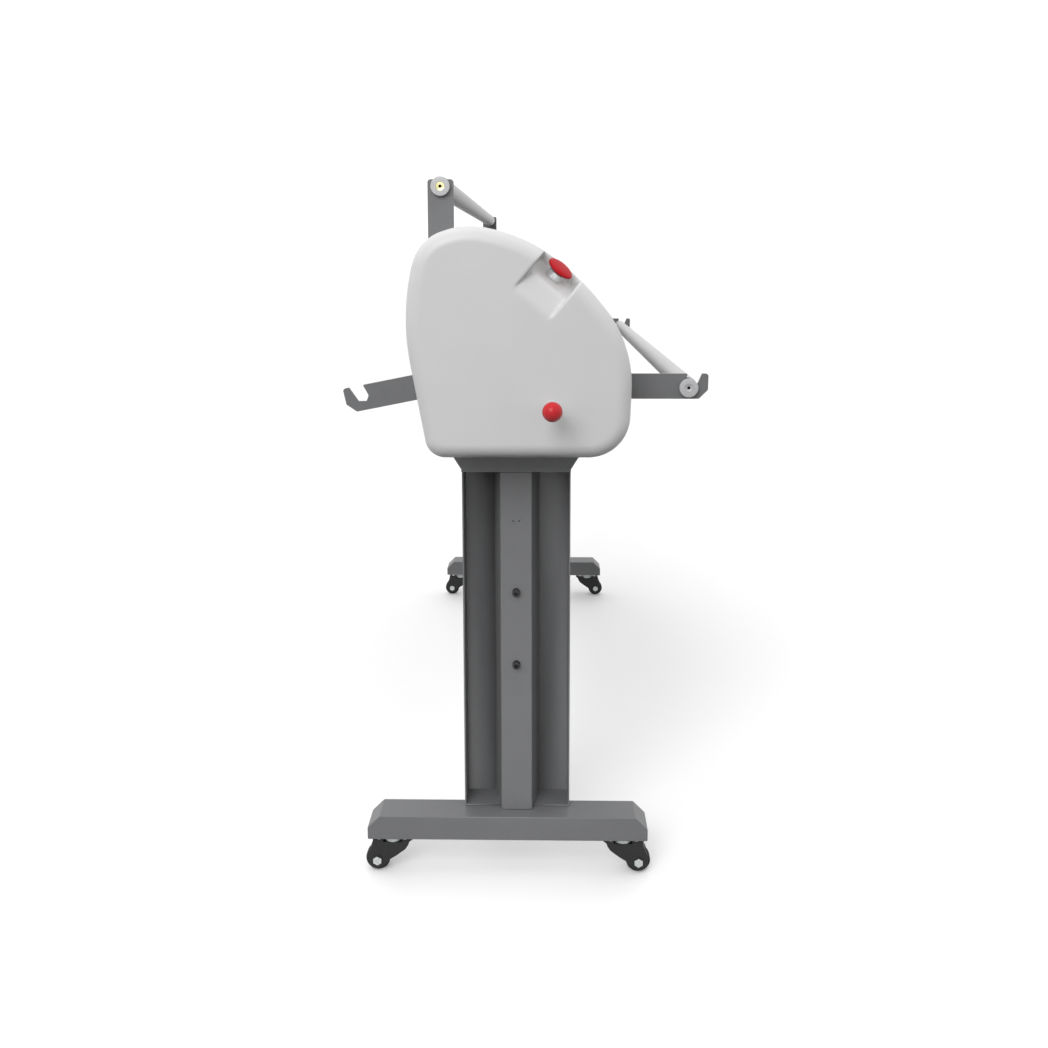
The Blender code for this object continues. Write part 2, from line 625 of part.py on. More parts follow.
def scoop_frame(side):
    """Axes of the scoop: inwards from the end face, out of the slope, and along the slope."""
    normal = Vector((0.0, -math.sin(SLOPE), math.cos(SLOPE)))
    inwards = Vector((-side, 0.0, 0.0))
    frame = Matrix.Identity(4)
    frame.col[0][:3] = inwards
    frame.col[1][:3] = normal
    frame.col[2][:3] = inwards.cross(normal)
    frame.col[3][:3] = (side * COVER_OUTER_X, *SCOOP_ORIGIN)
    return frame


def scoop_outline(grow):
    """Section of the scoop: back wall, floor square to the button, and a run-out down the end face."""
    rise = math.tan(STOP_TILT)
    back = SCOOP_BACK + grow
    lip = SCOOP_LIP + grow * 0.6
    seat_in, seat_up = STOP_SEAT
    drop = grow / math.cos(STOP_TILT)
    run_out = (-0.010, -0.110 - 2 * grow)
    return [(back, 0.05), (back, seat_up + (back - seat_in) * rise - drop),
            (lip, seat_up + (lip - seat_in) * rise - drop), run_out, (-0.010, 0.05)]


def stop_axis(side):
    """Direction in which an emergency stop button points."""
    frame = scoop_frame(side)
    return (frame.col[1].xyz * math.cos(STOP_TILT) - frame.col[0].xyz * math.sin(STOP_TILT)).normalized()


def stop_seat(side):
    """Centre of the emergency stop's seat on the scoop's floor."""
    return scoop_frame(side) @ Vector((*STOP_SEAT, 0.0))


def make_cover(label, side):
    """Moulded end cover: a deep shell, open inwards, with slots for the arms and a scooped stop."""
    cover = cover_solid(label + "_cover", side, 0.0, SIDE_PLATE_X, "cover_plastic")
    inside = cover_solid(label + "_cover_inside", side, COVER_WALL, SIDE_PLATE_X - 0.01)
    frame = scoop_frame(side)
    cut(inside, flat_piece(label + "_scoop_wall", scoop_outline(COVER_WALL),
                           2 * (SCOOP_HALF_WIDTH + COVER_WALL), frame))
    cut(cover, inside)
    cut(cover, flat_piece(label + "_scoop", scoop_outline(0.0), 2 * SCOOP_HALF_WIDTH, frame))
    slot_x = (SIDE_PLATE_X - 0.001, ARM_INNER_X + ARM_THICKNESS + 0.0006)
    clear = 0.0008
    front_low = FRONT_ARM_CORNER[1]
    cut(cover, side_box(label + "_front_arm_slot", side, slot_x, (-0.22, -0.15),
                        (front_low - clear, front_low + ARM_WIDTH + clear)))
    half = BRACKET_HALF_WIDTH + clear
    tube_y = SUPPLY_TUBE_YZ[0]
    cut(cover, side_box(label + "_bracket_slot", side, slot_x, (tube_y - half, tube_y + half), (1.25, 1.35)))
    tilted = [rear_arm_point(across, up)
              for across, up in ((-0.18, -clear), (-0.08, -clear), (-0.08, ARM_WIDTH + clear),
                                 (-0.18, ARM_WIDTH + clear))]
    x_low, x_high = sorted((side * slot_x[0], side * slot_x[1]))
    cut(cover, end_plate(label + "_rear_arm_slot", tilted, x_low, x_high))
    seat = stop_seat(side)
    axis = stop_axis(side)
    cut(cover, rod(label + "_stop_hole", seat - axis * 3 * COVER_WALL, seat + axis * COVER_WALL,
                   STOP_HOLE_RADIUS, sides=20))
    if side < 0:
        deep = Vector((5 * COVER_WALL, 0.0, 0.0))
        hole = Vector((-COVER_OUTER_X, ROD_Y, ROD_Z))
        cut(cover, rod("rod_hole", hole - deep, hole + deep, ROD_RADIUS + 0.001, sides=20))


def make_stop(label, side):
    """Emergency stop: collar and contact block in one piece, and the mushroom button above it."""
    seat = stop_seat(side)
    axis = stop_axis(side)
    collar = STOP_COLLAR_RADIUS
    neck = STOP_HOLE_RADIUS - 0.0004
    under = -COVER_WALL - 2 * GAP
    base = [(0.0, -0.0180), (0.0055, -0.0180), (0.0055, 0.0110), (collar - 0.0020, 0.0110),
            (collar, 0.0085), (collar, GAP), (neck, GAP), (neck, under), (0.0160, under),
            (0.0160, -0.0450), (0.0, -0.0450)]
    turned(label + "_stop_base", base, seat, axis, "steel", steps=20)
    cap = STOP_CAP_RADIUS
    button = [(0.0, 0.0275), (cap - 0.0080, 0.0268), (cap - 0.0018, 0.0248), (cap, 0.0230),
              (cap, 0.0205), (cap - 0.0020, 0.0190), (0.0120, 0.0180), (0.0050, 0.0175),
              (0.0050, -0.0110), (0.0, -0.0110)]
    turned(label + "_stop_button", button, seat, axis, "red_plastic", steps=24)


# ---- Rollers, bearings and lift ----

def make_roller(name, axis_z, right_end_x):
    """Hollow steel core with stub journals, and the rubber sleeve on it."""
    left_end_x = -(BEARING_OUTER_X + 0.002)
    inner = CORE_RADIUS - CORE_WALL
    plug_x = ROLLER_HALF_FACE - 0.015
    bore = 0.005
    centre = (0.0, ROLLER_Y, axis_z)
    core = [(bore, right_end_x), (JOURNAL_RADIUS, right_end_x), (JOURNAL_RADIUS, ROLLER_HALF_FACE),
            (CORE_RADIUS, ROLLER_HALF_FACE), (CORE_RADIUS, -ROLLER_HALF_FACE),
            (JOURNAL_RADIUS, -ROLLER_HALF_FACE), (JOURNAL_RADIUS, left_end_x), (bore, left_end_x),
            (bore, -plug_x), (inner, -plug_x), (inner, plug_x), (bore, plug_x)]
    turned(name + "_core", core, centre, (1, 0, 0), "steel", steps=24, ring=True)
    length = ROLLER_HALF_FACE - 0.002
    sleeve = [(CORE_RADIUS + GAP, length), (ROLLER_RADIUS, length), (ROLLER_RADIUS, -length),
              (CORE_RADIUS + GAP, -length)]
    turned(name + "_sleeve", sleeve, centre, (1, 0, 0), "grey_rubber", steps=32, ring=True)


def ramp_cutter(name, start_x, height, above):
    """Slab with one face on the wedges' slope, to cut away what is above or below that face."""
    reach = 0.2
    depth = 0.1
    z_low, z_high = (0.0, depth) if above else (-depth, 0.0)
    slab = box(name, (-reach, ROD_Y - 0.05, z_low), (reach, ROD_Y + 0.0255, z_high))
    slab.location = (start_x, 0.0, height)
    slab.rotation_euler = (0.0, -math.atan(WEDGE_SLOPE), 0.0)
    return slab


def make_bearings(label, side):
    """Fixed bottom bearing, and a sliding top bearing with a lug that rides on the wedge."""
    reach = (side * 0.90, side * 0.95)
    bore = JOURNAL_RADIUS + JOURNAL_CLEARANCE
    y_range = (ROLLER_Y - BEARING_HALF_WIDTH, ROLLER_Y + BEARING_HALF_WIDTH)
    bottom = side_box(label + "_bottom_bearing", side, (BEARING_INNER_X, BEARING_OUTER_X), y_range,
                      (0.9075, 0.985), "black_oxide")
    cut(bottom, rod(label + "_bottom_bore", (reach[0], ROLLER_Y, BOTTOM_AXIS_Z),
                    (reach[1], ROLLER_Y, BOTTOM_AXIS_Z), bore, sides=24))
    lug_back = ROD_Y + 0.025
    lug_front = ROD_Y - WEDGE_HALF_WIDTH
    outline = [(lug_front, WEDGE_LOW - 0.002), (lug_back, WEDGE_LOW - 0.002), (lug_back, 1.030),
               (y_range[1], 1.030), (y_range[1], 1.105), (y_range[0], 1.105), (lug_front, 1.070)]
    x_low, x_high = sorted((side * BEARING_INNER_X, side * BEARING_OUTER_X))
    top = end_plate(label + "_top_bearing", outline, x_low, x_high, "black_oxide",
                    (0.0, ROLLER_Y, TOP_AXIS_Z))
    cut(top, rod(label + "_top_bore", (reach[0], ROLLER_Y, TOP_AXIS_Z),
                 (reach[1], ROLLER_Y, TOP_AXIS_Z), bore, sides=24))
    cut(top, ramp_cutter(label + "_lug_ramp", x_low, WEDGE_LOW + GAP, above=False))
    wedge = box(label + "_lift_wedge", (x_low - 0.0035, lug_front, WEDGE_BOTTOM),
                (x_low + 0.0745, ROD_Y + WEDGE_HALF_WIDTH, WEDGE_LOW + 0.030), "steel",
                (x_low, ROD_Y, ROD_Z))
    cut(wedge, ramp_cutter(label + "_wedge_ramp", x_low, WEDGE_LOW, above=True))
    cut(wedge, rod(label + "_wedge_bore", (x_low - 0.05, ROD_Y, ROD_Z), (x_low + 0.12, ROD_Y, ROD_Z),
                   ROD_RADIUS + GAP, sides=20))


def make_lift_rod():
    """Push-pull rod across the machine, with a ball knob on its left end."""
    rod("lift_rod", (KNOB_X - KNOB_BORE_END + GAP, ROD_Y, ROD_Z), (ROD_INNER_END_X, ROD_Y, ROD_Z),
        ROD_RADIUS, "steel", sides=20)
    bore = ROD_RADIUS + GAP
    ball = []
    last = math.acos(-KNOB_FLAT / KNOB_RADIUS)
    for k in range(11):
        angle = last * k / 10
        ball.append((KNOB_RADIUS * math.sin(angle), KNOB_RADIUS * math.cos(angle)))
    ball += [(bore, -KNOB_FLAT), (bore, KNOB_BORE_END), (0.0, KNOB_BORE_END)]
    turned("lift_knob", ball, (KNOB_X, ROD_Y, ROD_Z), (-1, 0, 0), "red_plastic", steps=24)


# ---- Media arms and tubes ----

def hook_outline():
    """Arm seen from the end, with an open hook at its tip, from the arm's lower outer corner."""
    corners = [(-ARM_LENGTH, 0.0, 0.0), (0.0, 0.0, 0.003), (0.0175, 0.0175, 0.003),
               (0.018, ARM_WIDTH, 0.005), (0.0057, ARM_WIDTH, 0.001), (-0.0070, 0.0194, 0.002),
               (-0.0225, 0.0167, 0.002), (-0.0290, 0.0272, 0.003), (-0.0220, ARM_WIDTH, 0.0015),
               (-ARM_LENGTH, ARM_WIDTH, 0.0)]
    return rounded(corners, step=math.radians(30))


def front_arm_point(across, up):
    """Arm coordinates to y, z on the front arm, which is level."""
    return FRONT_ARM_CORNER[0] - across, FRONT_ARM_CORNER[1] + up


def rear_arm_point(across, up):
    """Arm coordinates to y, z on the rear arm, which droops outwards."""
    cosine, sine = math.cos(REAR_ARM_DROOP), math.sin(REAR_ARM_DROOP)
    y, z = REAR_ARM_CORNER
    return y + across * cosine + up * sine, z - across * sine + up * cosine


def make_arms(label, side):
    """Front and rear arms and the upright supply bracket, bolted flat to the side plate."""
    x_low, x_high = sorted((side * ARM_INNER_X, side * (ARM_INNER_X + ARM_THICKNESS)))
    outline = hook_outline()
    front = [front_arm_point(*point) for point in outline]
    rear = [rear_arm_point(*point) for point in outline]
    end_plate(label + "_front_arm", front, x_low, x_high, "arm_paint")
    end_plate(label + "_rear_arm", rear, x_low, x_high, "arm_paint")
    tube_y, tube_z = SUPPLY_TUBE_YZ
    half = BRACKET_HALF_WIDTH
    notch = PIN_RADIUS + 0.0004
    low, top = BRACKET_Z
    corners = [(tube_y - half, low, 0.004), (tube_y + half, low, 0.004), (tube_y + half, top, 0.006),
               (tube_y + notch, top, 0.0), (tube_y + notch, tube_z - notch, notch * 0.99),
               (tube_y - notch, tube_z - notch, notch * 0.99), (tube_y - notch, top, 0.0),
               (tube_y - half, top, 0.006)]
    end_plate(label + "_supply_bracket", rounded(corners, step=math.radians(22)), x_low, x_high, "arm_paint")


def make_tube(name, y, z):
    """Aluminium tube on stub pins, with a disc outside each arm that keeps it from sliding off."""
    plug_x = TUBE_END_X - 0.010
    outside = [(PIN_BORE, DISC_OUTER_X), (DISC_RADIUS, DISC_OUTER_X), (DISC_RADIUS, DISC_INNER_X),
               (PIN_RADIUS, DISC_INNER_X), (PIN_RADIUS, TUBE_END_X), (TUBE_RADIUS, TUBE_END_X)]
    inside = [(PIN_BORE, -plug_x), (TUBE_BORE, -plug_x), (TUBE_BORE, plug_x), (PIN_BORE, plug_x)]
    mirrored = [(radius, -height) for radius, height in reversed(outside)]
    turned(name, outside + mirrored + inside, (0.0, y, z), (1, 0, 0), "tube_aluminium", steps=24, ring=True)


# ---- Drive, control and inlet ----

def make_gear_motor():
    """Hollow-shaft gearbox on the bottom roller's right journal, with its motor standing on it."""
    motor = box("gear_motor", (BEARING_OUTER_X + GAP, -0.030, 0.906), (MOTOR_OUTER_X, 0.070, 0.985),
                "motor_grey")
    cut(motor, rod("motor_can", (0.985, 0.030, 0.975), (0.985, 0.030, 1.120), 0.038, sides=28), "UNION")
    cut(motor, rod("motor_bore", (0.90, ROLLER_Y, BOTTOM_AXIS_Z), (1.00, ROLLER_Y, BOTTOM_AXIS_Z),
                   JOURNAL_RADIUS + JOURNAL_CLEARANCE, sides=24))


def make_controls():
    """Control box with its speed dial on the table's lip, and the mains inlet in the rear beam."""
    panel_back = TABLE_FRONT - GAP
    panel = box("control_panel", (PANEL_X[0], PANEL_FRONT, PANEL_Z[0]),
                (PANEL_X[1], panel_back, PANEL_Z[1]), "black_plastic")
    bevel = panel.modifiers.new("edges", "BEVEL")
    bevel.width = 0.003
    bevel.segments = 2
    dial_z = sum(PANEL_Z) / 2
    dial = [(0.0, DIAL_DEPTH), (DIAL_RADIUS - 0.0030, DIAL_DEPTH),
            (DIAL_RADIUS - 0.0015, DIAL_DEPTH - 0.0015), (DIAL_RADIUS, GAP), (0.0, GAP)]
    turned("speed_dial", dial, (DIAL_X, PANEL_FRONT, dial_z), (0, -1, 0), "black_plastic", steps=20)

    face = REAR_WEB_Y + GAP
    centre = Vector((INLET_X, face, INLET_Z))
    width, height, thickness = INLET_FLANGE
    half = Vector((width / 2, 0.0, height / 2))
    inlet = box("power_inlet", centre - half, centre + half + Vector((0, thickness, 0)), "black_plastic")
    width, height, depth = INLET_BODY
    half = Vector((width / 2, 0.0, height / 2))
    body = box("inlet_body", centre - half - Vector((0, depth, 0)),
               centre + half + Vector((0, thickness / 2, 0)))
    half -= Vector((INLET_WALL, 0.0, INLET_WALL))
    socket = box("inlet_socket", centre - half - Vector((0, depth - INLET_WALL, 0)),
                 centre + half + Vector((0, 2 * thickness, 0)))
    cut(inlet, body, "UNION")
    cut(inlet, socket)


# ---- Assembly ----

stretcher = make_stretcher()
openings = side_plate_openings()
for label, side in SIDES:
    make_foot(label, side)
    column, post = make_column(label, side)
    for level, height in BOLT_HEIGHTS:
        hole = bolt_hole_cutter(label, side, level, height)
        for drilled in (column, post, stretcher):
            cut(drilled, hole)
        make_bolt(label, side, level, height)
    make_saddle(label, side)
    for end, outwards in ENDS:
        make_caster(label, side, end, outwards)
    make_side_plate(label, side, openings)
    make_cover(label, side)
    make_stop(label, side)
    make_bearings(label, side)
    make_arms(label, side)

make_beams()
make_front_table()
make_roller("bottom_roller", BOTTOM_AXIS_Z, 0.985)
make_roller("top_roller", TOP_AXIS_Z, BEARING_OUTER_X + 0.002)
make_lift_rod()
make_tube("supply_tube", *SUPPLY_TUBE_YZ)
make_tube("front_tube", *front_arm_point(*TUBE_SEAT))
make_gear_motor()
make_controls()

machine_middle = bpy.data.objects.new("machine_middle", None)
machine_middle.location = (MIDDLE_X, 0.0, 0.0)
bpy.context.scene.collection.objects.link(machine_middle)
for piece in [*parts.objects, *cutters.objects]:
    piece.parent = machine_middle
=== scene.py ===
"""Looks of the cold roll laminator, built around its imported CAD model.

Metres, in the model's own frame: X along the rollers, the operator on the -Y side, +Z up. Each
piece is placed from the CAD nodes' boxes and rides on the CAD body that it belongs to. "Outwards"
is the distance along X from the middle of the stand, the same at both ends.
"""

import json
import math

import bmesh
import bpy
import numpy as np
from mathutils import Matrix, Vector


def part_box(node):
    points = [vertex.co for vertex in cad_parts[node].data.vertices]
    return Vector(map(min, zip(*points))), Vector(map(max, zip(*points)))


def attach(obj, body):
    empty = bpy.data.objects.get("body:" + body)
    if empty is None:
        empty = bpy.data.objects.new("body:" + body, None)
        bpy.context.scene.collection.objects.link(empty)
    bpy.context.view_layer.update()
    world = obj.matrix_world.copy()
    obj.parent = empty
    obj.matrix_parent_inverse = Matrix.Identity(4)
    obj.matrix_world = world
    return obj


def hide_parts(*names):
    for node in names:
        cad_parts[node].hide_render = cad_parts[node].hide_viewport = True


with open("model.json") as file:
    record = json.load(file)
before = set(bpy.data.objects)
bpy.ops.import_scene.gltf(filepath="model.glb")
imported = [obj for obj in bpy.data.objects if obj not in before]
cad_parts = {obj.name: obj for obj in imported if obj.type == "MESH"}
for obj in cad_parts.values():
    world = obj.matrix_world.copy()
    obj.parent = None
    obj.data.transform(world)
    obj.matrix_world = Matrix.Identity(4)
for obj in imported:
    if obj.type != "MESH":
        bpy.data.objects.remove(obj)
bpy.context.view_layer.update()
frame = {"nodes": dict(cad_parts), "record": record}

SIDES = (("left", -1), ("right", 1))
ENDS = (("front", -1), ("rear", 1))
SLOTS = {part["node"]: part["material_slot"] for part in frame["record"]["subparts"]}
BODIES = frame["record"]["behaviour"]["bodies"]
BODY_OF = {node: body for body, nodes in BODIES.items() for node in nodes}


def middle(node):
    """Centre of a CAD node's box."""
    low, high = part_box(node)
    return (low + high) / 2


MIDDLE_X = middle("stretcher").x

# Cover and scoop, as in the CAD model.
COVER_CORNERS = (               # y, z, corner radius; wide arcs run into each other
    (0.1770, 0.898, 0.038),
    (0.2245, 1.159, 0.440),
    (0.1920, 1.2965, 0.084),
    (0.1090, 1.3240, 0.137),
    (-0.0050, 1.3060, 0.300),
    (-0.1060, 1.2230, 0.470),
    (-0.2000, 1.1090, 0.225),
    (-0.1925, 0.8985, 0.077),
)
COVER_RIM = 0.905               # outwards
COVER_END = 1.055
COVER_EDGE_RADIUS = 0.028
COVER_WALL = 0.004
COVER_CELL = 0.003              # size of the cover's mesh
SLOPE = math.radians(40.3)
STOP_TILT = math.radians(20.0)
SCOOP_ORIGIN = (-0.0723, 1.2507)            # y, z on the slope's surface
SCOOP_HALF_WIDTH = 0.042
SCOOP_BACK = 0.088              # inwards from the end face
SCOOP_LIP = 0.020
SCOOP_FOLDS = (0.002, 0.002, 0.020, 0.002, 0.002, 0.002)    # radius at each corner of its section
SCOOP_FILLET = 0.0025           # where its walls meet its floor
SCOOP_EDGE = 0.0025             # where it meets the cover's outside
STOP_SEAT = (0.0646, -0.0293)   # inwards from the end face, and out of the slope
STOP_HOLE_RADIUS = 0.0114
STOP_COLLAR_RADIUS = 0.0165
STOP_CAP_RADIUS = 0.0262

# Common details.
WELD = 0.00001                  # points closer than this are one point
FLAT = math.radians(0.4)        # faces that bend less than this are one face
SHARP = math.radians(35)        # edges that bend more than this are sharp
NEARLY_STRAIGHT = math.radians(80)          # half angles above this are left unrounded
FOLD_RADIUS = 0.0018            # outside radius of folded and tube corners
EDGE_BREAK = 0.0005             # what cut edges lose


# ---- Materials ----

def finish(name, colour, roughness, metallic=0.0, mottle=0.05, mottle_size=0.03, grain=0.1,
           grain_size=0.001, run=(1.0, 1.0, 1.0), tint=None, shine=0.5, rough_spread=0.06):
    """Procedural finish: mottled colour and roughness, and a fine grain in the surface.

    Sizes are in metres. run stretches the pattern along an axis, tint is the colour that the
    mottling drifts to, and shine is how strongly a non-metal reflects.
    """
    material = bpy.data.materials.new(name)
    material.use_nodes = True
    nodes, links = material.node_tree.nodes, material.node_tree.links
    shader = nodes["Principled BSDF"]
    shader.inputs["Metallic"].default_value = metallic
    shader.inputs["Specular IOR Level"].default_value = shine
    place = nodes.new("ShaderNodeTexCoord")
    stretch = nodes.new("ShaderNodeMapping")
    stretch.inputs["Scale"].default_value = [1.0 / r for r in run]
    links.new(place.outputs["Object"], stretch.inputs["Vector"])

    def noise(size, detail):
        texture = nodes.new("ShaderNodeTexNoise")
        texture.inputs["Scale"].default_value = 1.0 / size
        texture.inputs["Detail"].default_value = detail
        links.new(stretch.outputs["Vector"], texture.inputs["Vector"])
        return texture.outputs["Fac"]

    def spread(value, low, high):
        ramp = nodes.new("ShaderNodeMapRange")
        ramp.inputs["From Min"].default_value = 0.3
        ramp.inputs["From Max"].default_value = 0.7
        ramp.inputs["To Min"].default_value = low
        ramp.inputs["To Max"].default_value = high
        links.new(value, ramp.inputs["Value"])
        return ramp.outputs["Result"]

    broad = noise(mottle_size, 3.0)
    fine = noise(grain_size, 2.0)
    mix = nodes.new("ShaderNodeMix")
    mix.data_type = "RGBA"
    light = [min(1.0, c * (1 + mottle)) for c in (tint or colour)]
    dark = [c * (1 - mottle) for c in colour]
    mix.inputs["A"].default_value = (*dark, 1.0)
    mix.inputs["B"].default_value = (*light, 1.0)
    links.new(spread(broad, 0.0, 1.0), mix.inputs["Factor"])
    links.new(mix.outputs["Result"], shader.inputs["Base Color"])
    links.new(spread(broad, roughness - rough_spread / 2, roughness + rough_spread / 2),
              shader.inputs["Roughness"])
    bump = nodes.new("ShaderNodeBump")
    bump.inputs["Strength"].default_value = grain
    bump.inputs["Distance"].default_value = grain_size
    links.new(fine, bump.inputs["Height"])
    links.new(bump.outputs["Normal"], shader.inputs["Normal"])
    return material


RINGS = (0.05, 1.0, 1.0)        # lathe marks round a part that lies along X
LENGTHS = (30.0, 1.0, 1.0)      # drawing marks along X

FINISHES = {
    "stand_paint": finish("stand_powder_coat", (0.156, 0.158, 0.162), 0.46, mottle=0.03,
                          mottle_size=0.05, grain=0.10, grain_size=0.0014),
    "arm_paint": finish("arm_powder_coat", (0.155, 0.157, 0.161), 0.44, mottle=0.03,
                        mottle_size=0.03, grain=0.10, grain_size=0.0012, shine=0.4),
    "cover_plastic": finish("cover_moulded_plastic", (0.615, 0.615, 0.615), 0.42, mottle=0.012,
                            mottle_size=0.09, grain=0.12, grain_size=0.0005, rough_spread=0.04),
    "red_plastic": finish("red_gloss_plastic", (0.53, 0.018, 0.024), 0.30, mottle=0.04,
                          mottle_size=0.01, grain=0.04, grain_size=0.0006, shine=0.25),
    "black_plastic": finish("black_nylon", (0.014, 0.014, 0.015), 0.42, mottle=0.12,
                            mottle_size=0.006, grain=0.20, grain_size=0.0005, shine=0.35),
    "black_rubber": finish("wheel_tread", (0.016, 0.016, 0.016), 0.72, mottle=0.25,
                           mottle_size=0.006, grain=0.30, grain_size=0.0006, shine=0.35),
    "grey_rubber": finish("silicone_rubber", (0.30, 0.30, 0.30), 0.62, mottle=0.05,
                          mottle_size=0.02, grain=0.25, grain_size=0.0006, run=RINGS),
    "zinc": finish("zinc_plate", (0.50, 0.53, 0.54), 0.34, 1.0, mottle=0.08, mottle_size=0.006,
                   grain=0.10, grain_size=0.0005, tint=(0.56, 0.57, 0.54)),
    "steel": finish("turned_steel", (0.48, 0.48, 0.48), 0.30, 1.0, mottle=0.07,
                    mottle_size=0.004, grain=0.15, grain_size=0.0006, run=RINGS),
    "black_oxide": finish("black_oxide", (0.030, 0.030, 0.033), 0.38, 0.7, mottle=0.2,
                          mottle_size=0.004, grain=0.15, grain_size=0.0004),
    "tube_aluminium": finish("satin_aluminium", (0.54, 0.54, 0.545), 0.55, 0.30, mottle=0.05,
                             mottle_size=0.006, grain=0.12, grain_size=0.0007, run=LENGTHS),
    "motor_grey": finish("painted_casting", (0.10, 0.11, 0.12), 0.55, mottle=0.08,
                         mottle_size=0.01, grain=0.35, grain_size=0.0012),
}
BRASS = finish("brass", (0.93, 0.88, 0.46), 0.32, 0.7, mottle=0.06, mottle_size=0.003,
               grain=0.1, grain_size=0.0004)
MUSHROOM_RED = finish("matt_red_plastic", (0.46, 0.016, 0.022), 0.42, mottle=0.05, mottle_size=0.008,
                      grain=0.06, grain_size=0.0005, shine=0.05)
COLLAR_SILVER = finish("satin_silver", (0.66, 0.69, 0.69), 0.36, 0.55, mottle=0.05, mottle_size=0.004,
                       grain=0.08, grain_size=0.0004)
RACE_ZINC = finish("pressed_zinc", (0.56, 0.59, 0.59), 0.46, 0.3, mottle=0.08, mottle_size=0.005,
                   grain=0.1, grain_size=0.0005)
END_DISC = finish("end_disc_nylon", (0.50, 0.50, 0.51), 0.48, mottle=0.04, mottle_size=0.004,
                  grain=0.1, grain_size=0.0004)
WHITE_MARK = finish("marking_ink", (0.75, 0.75, 0.74), 0.5, mottle=0.04, mottle_size=0.004,
                    grain=0.05, grain_size=0.0004)


# ---- Mesh helpers ----

def smooth(mesh, sharp=SHARP):
    """Shade a mesh smooth, but for the edges that bend more than an angle."""
    mesh.shade_smooth()
    mesh.set_sharp_from_angle(angle=sharp)


def publish(name, shape, node, material=None, stands_for=()):
    """Make a piece from a bmesh. It rides with a CAD node's body and takes that node's finish."""
    mesh = bpy.data.meshes.new(name)
    shape.to_mesh(mesh)
    shape.free()
    smooth(mesh)
    mesh.materials.append(material or FINISHES[SLOTS[node]])
    piece = bpy.data.objects.new(name, mesh)
    bpy.context.scene.collection.objects.link(piece)
    if stands_for:
        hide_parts(*stands_for)
    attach(piece, BODY_OF[node])
    return piece


def soften(piece, width, segments=2, sharp=SHARP):
    """Break every sharp edge of a piece, or those with a bevel weight where it has weights."""
    bevel = piece.modifiers.new("edges", "BEVEL")
    bevel.width = width
    bevel.segments = segments
    bevel.harden_normals = True
    bevel.miter_outer = "MITER_ARC"
    if "bevel_weight_edge" in piece.data.attributes:
        bevel.limit_method = "WEIGHT"
    else:
        bevel.limit_method = "ANGLE"
        bevel.angle_limit = sharp
    return piece


def refined(node, fold=FOLD_RADIUS, edge=EDGE_BREAK):
    """A CAD node's own form with its facets merged, its folds rounded and its cut edges broken."""
    shape = bmesh.new()
    shape.from_mesh(frame["nodes"][node].data)
    bmesh.ops.remove_doubles(shape, verts=shape.verts, dist=WELD)
    bmesh.ops.dissolve_limit(shape, angle_limit=FLAT, verts=shape.verts, edges=shape.edges)
    weights = shape.edges.layers.float.new("bevel_weight_edge")
    for line in shape.edges:
        if len(line.link_faces) != 2 or line.calc_face_angle() < SHARP:
            continue
        narrowest = min(face.calc_area() for face in line.link_faces) / line.calc_length()
        if line.calc_length() < 2 * fold:
            continue
        is_fold = line.is_convex and narrowest > 4 * fold
        line[weights] = 1.0 if is_fold else edge / fold
    return soften(publish(node + "_finish", shape, node, stands_for=(node,)), fold)


def fillets(points, radius, closed=False, steps=5):
    """A 2D outline with its corners rounded, by one radius or one each, as far as its sides allow."""
    result = []
    count = len(points)
    radii = radius if isinstance(radius, (list, tuple)) else [radius] * count
    for index, point in enumerate(points):
        corner = Vector(point)
        if not closed and index in (0, count - 1):
            result.append(tuple(corner))
            continue
        before = Vector(points[index - 1]) - corner
        after = Vector(points[(index + 1) % count]) - corner
        half = before.angle(after) / 2
        if half > NEARLY_STRAIGHT:
            result.append(tuple(corner))
            continue
        reach = min(radii[index] / math.tan(half), before.length * 0.45, after.length * 0.45)
        bend = reach * math.tan(half)
        centre = corner + (before.normalized() + after.normalized()).normalized() * bend / math.sin(half)
        start = corner + before.normalized() * reach - centre
        turn = math.pi - 2 * half
        if before.x * after.y - before.y * after.x > 0:
            turn = -turn
        for k in range(steps + 1):
            result.append(tuple(centre + Matrix.Rotation(turn * k / steps, 2) @ start))
    return result


def lathe(profile, centre, axis, steps=64, radius=0.0006):
    """Bmesh turned about an axis from (radius, height) points, with its corners rounded."""
    shape = bmesh.new()
    rings = []
    for distance, height in fillets(profile, radius, steps=3):
        if distance < WELD:
            rings.append([shape.verts.new((0.0, 0.0, height))])
            continue
        rings.append([shape.verts.new((distance * math.cos(math.tau * k / steps),
                                       distance * math.sin(math.tau * k / steps), height))
                      for k in range(steps)])
    for upper, lower in zip(rings, rings[1:]):
        for k in range(steps):
            ahead = (k + 1) % steps
            corners = [upper[k % len(upper)], upper[ahead % len(upper)],
                       lower[ahead % len(lower)], lower[k % len(lower)]]
            face = list(dict.fromkeys(corners))
            if len(face) > 2:
                shape.faces.new(face)
    bmesh.ops.recalc_face_normals(shape, faces=shape.faces)
    turn = Vector(axis).to_track_quat("Z", "Y").to_matrix().to_4x4()
    shape.transform(Matrix.Translation(centre) @ turn)
    return shape


def slab(outline, low, high, placement):
    """Bmesh of a flat outline given thickness from low to high, placed by a matrix."""
    shape = bmesh.new()
    bottom = [shape.verts.new((across, up, low)) for across, up in outline]
    top = [shape.verts.new((across, up, high)) for across, up in outline]
    shape.faces.new(bottom)
    shape.faces.new(top)
    for k in range(len(outline)):
        ahead = (k + 1) % len(outline)
        shape.faces.new((bottom[k], bottom[ahead], top[ahead], top[k]))
    bmesh.ops.recalc_face_normals(shape, faces=shape.faces)
    shape.transform(placement)
    return shape


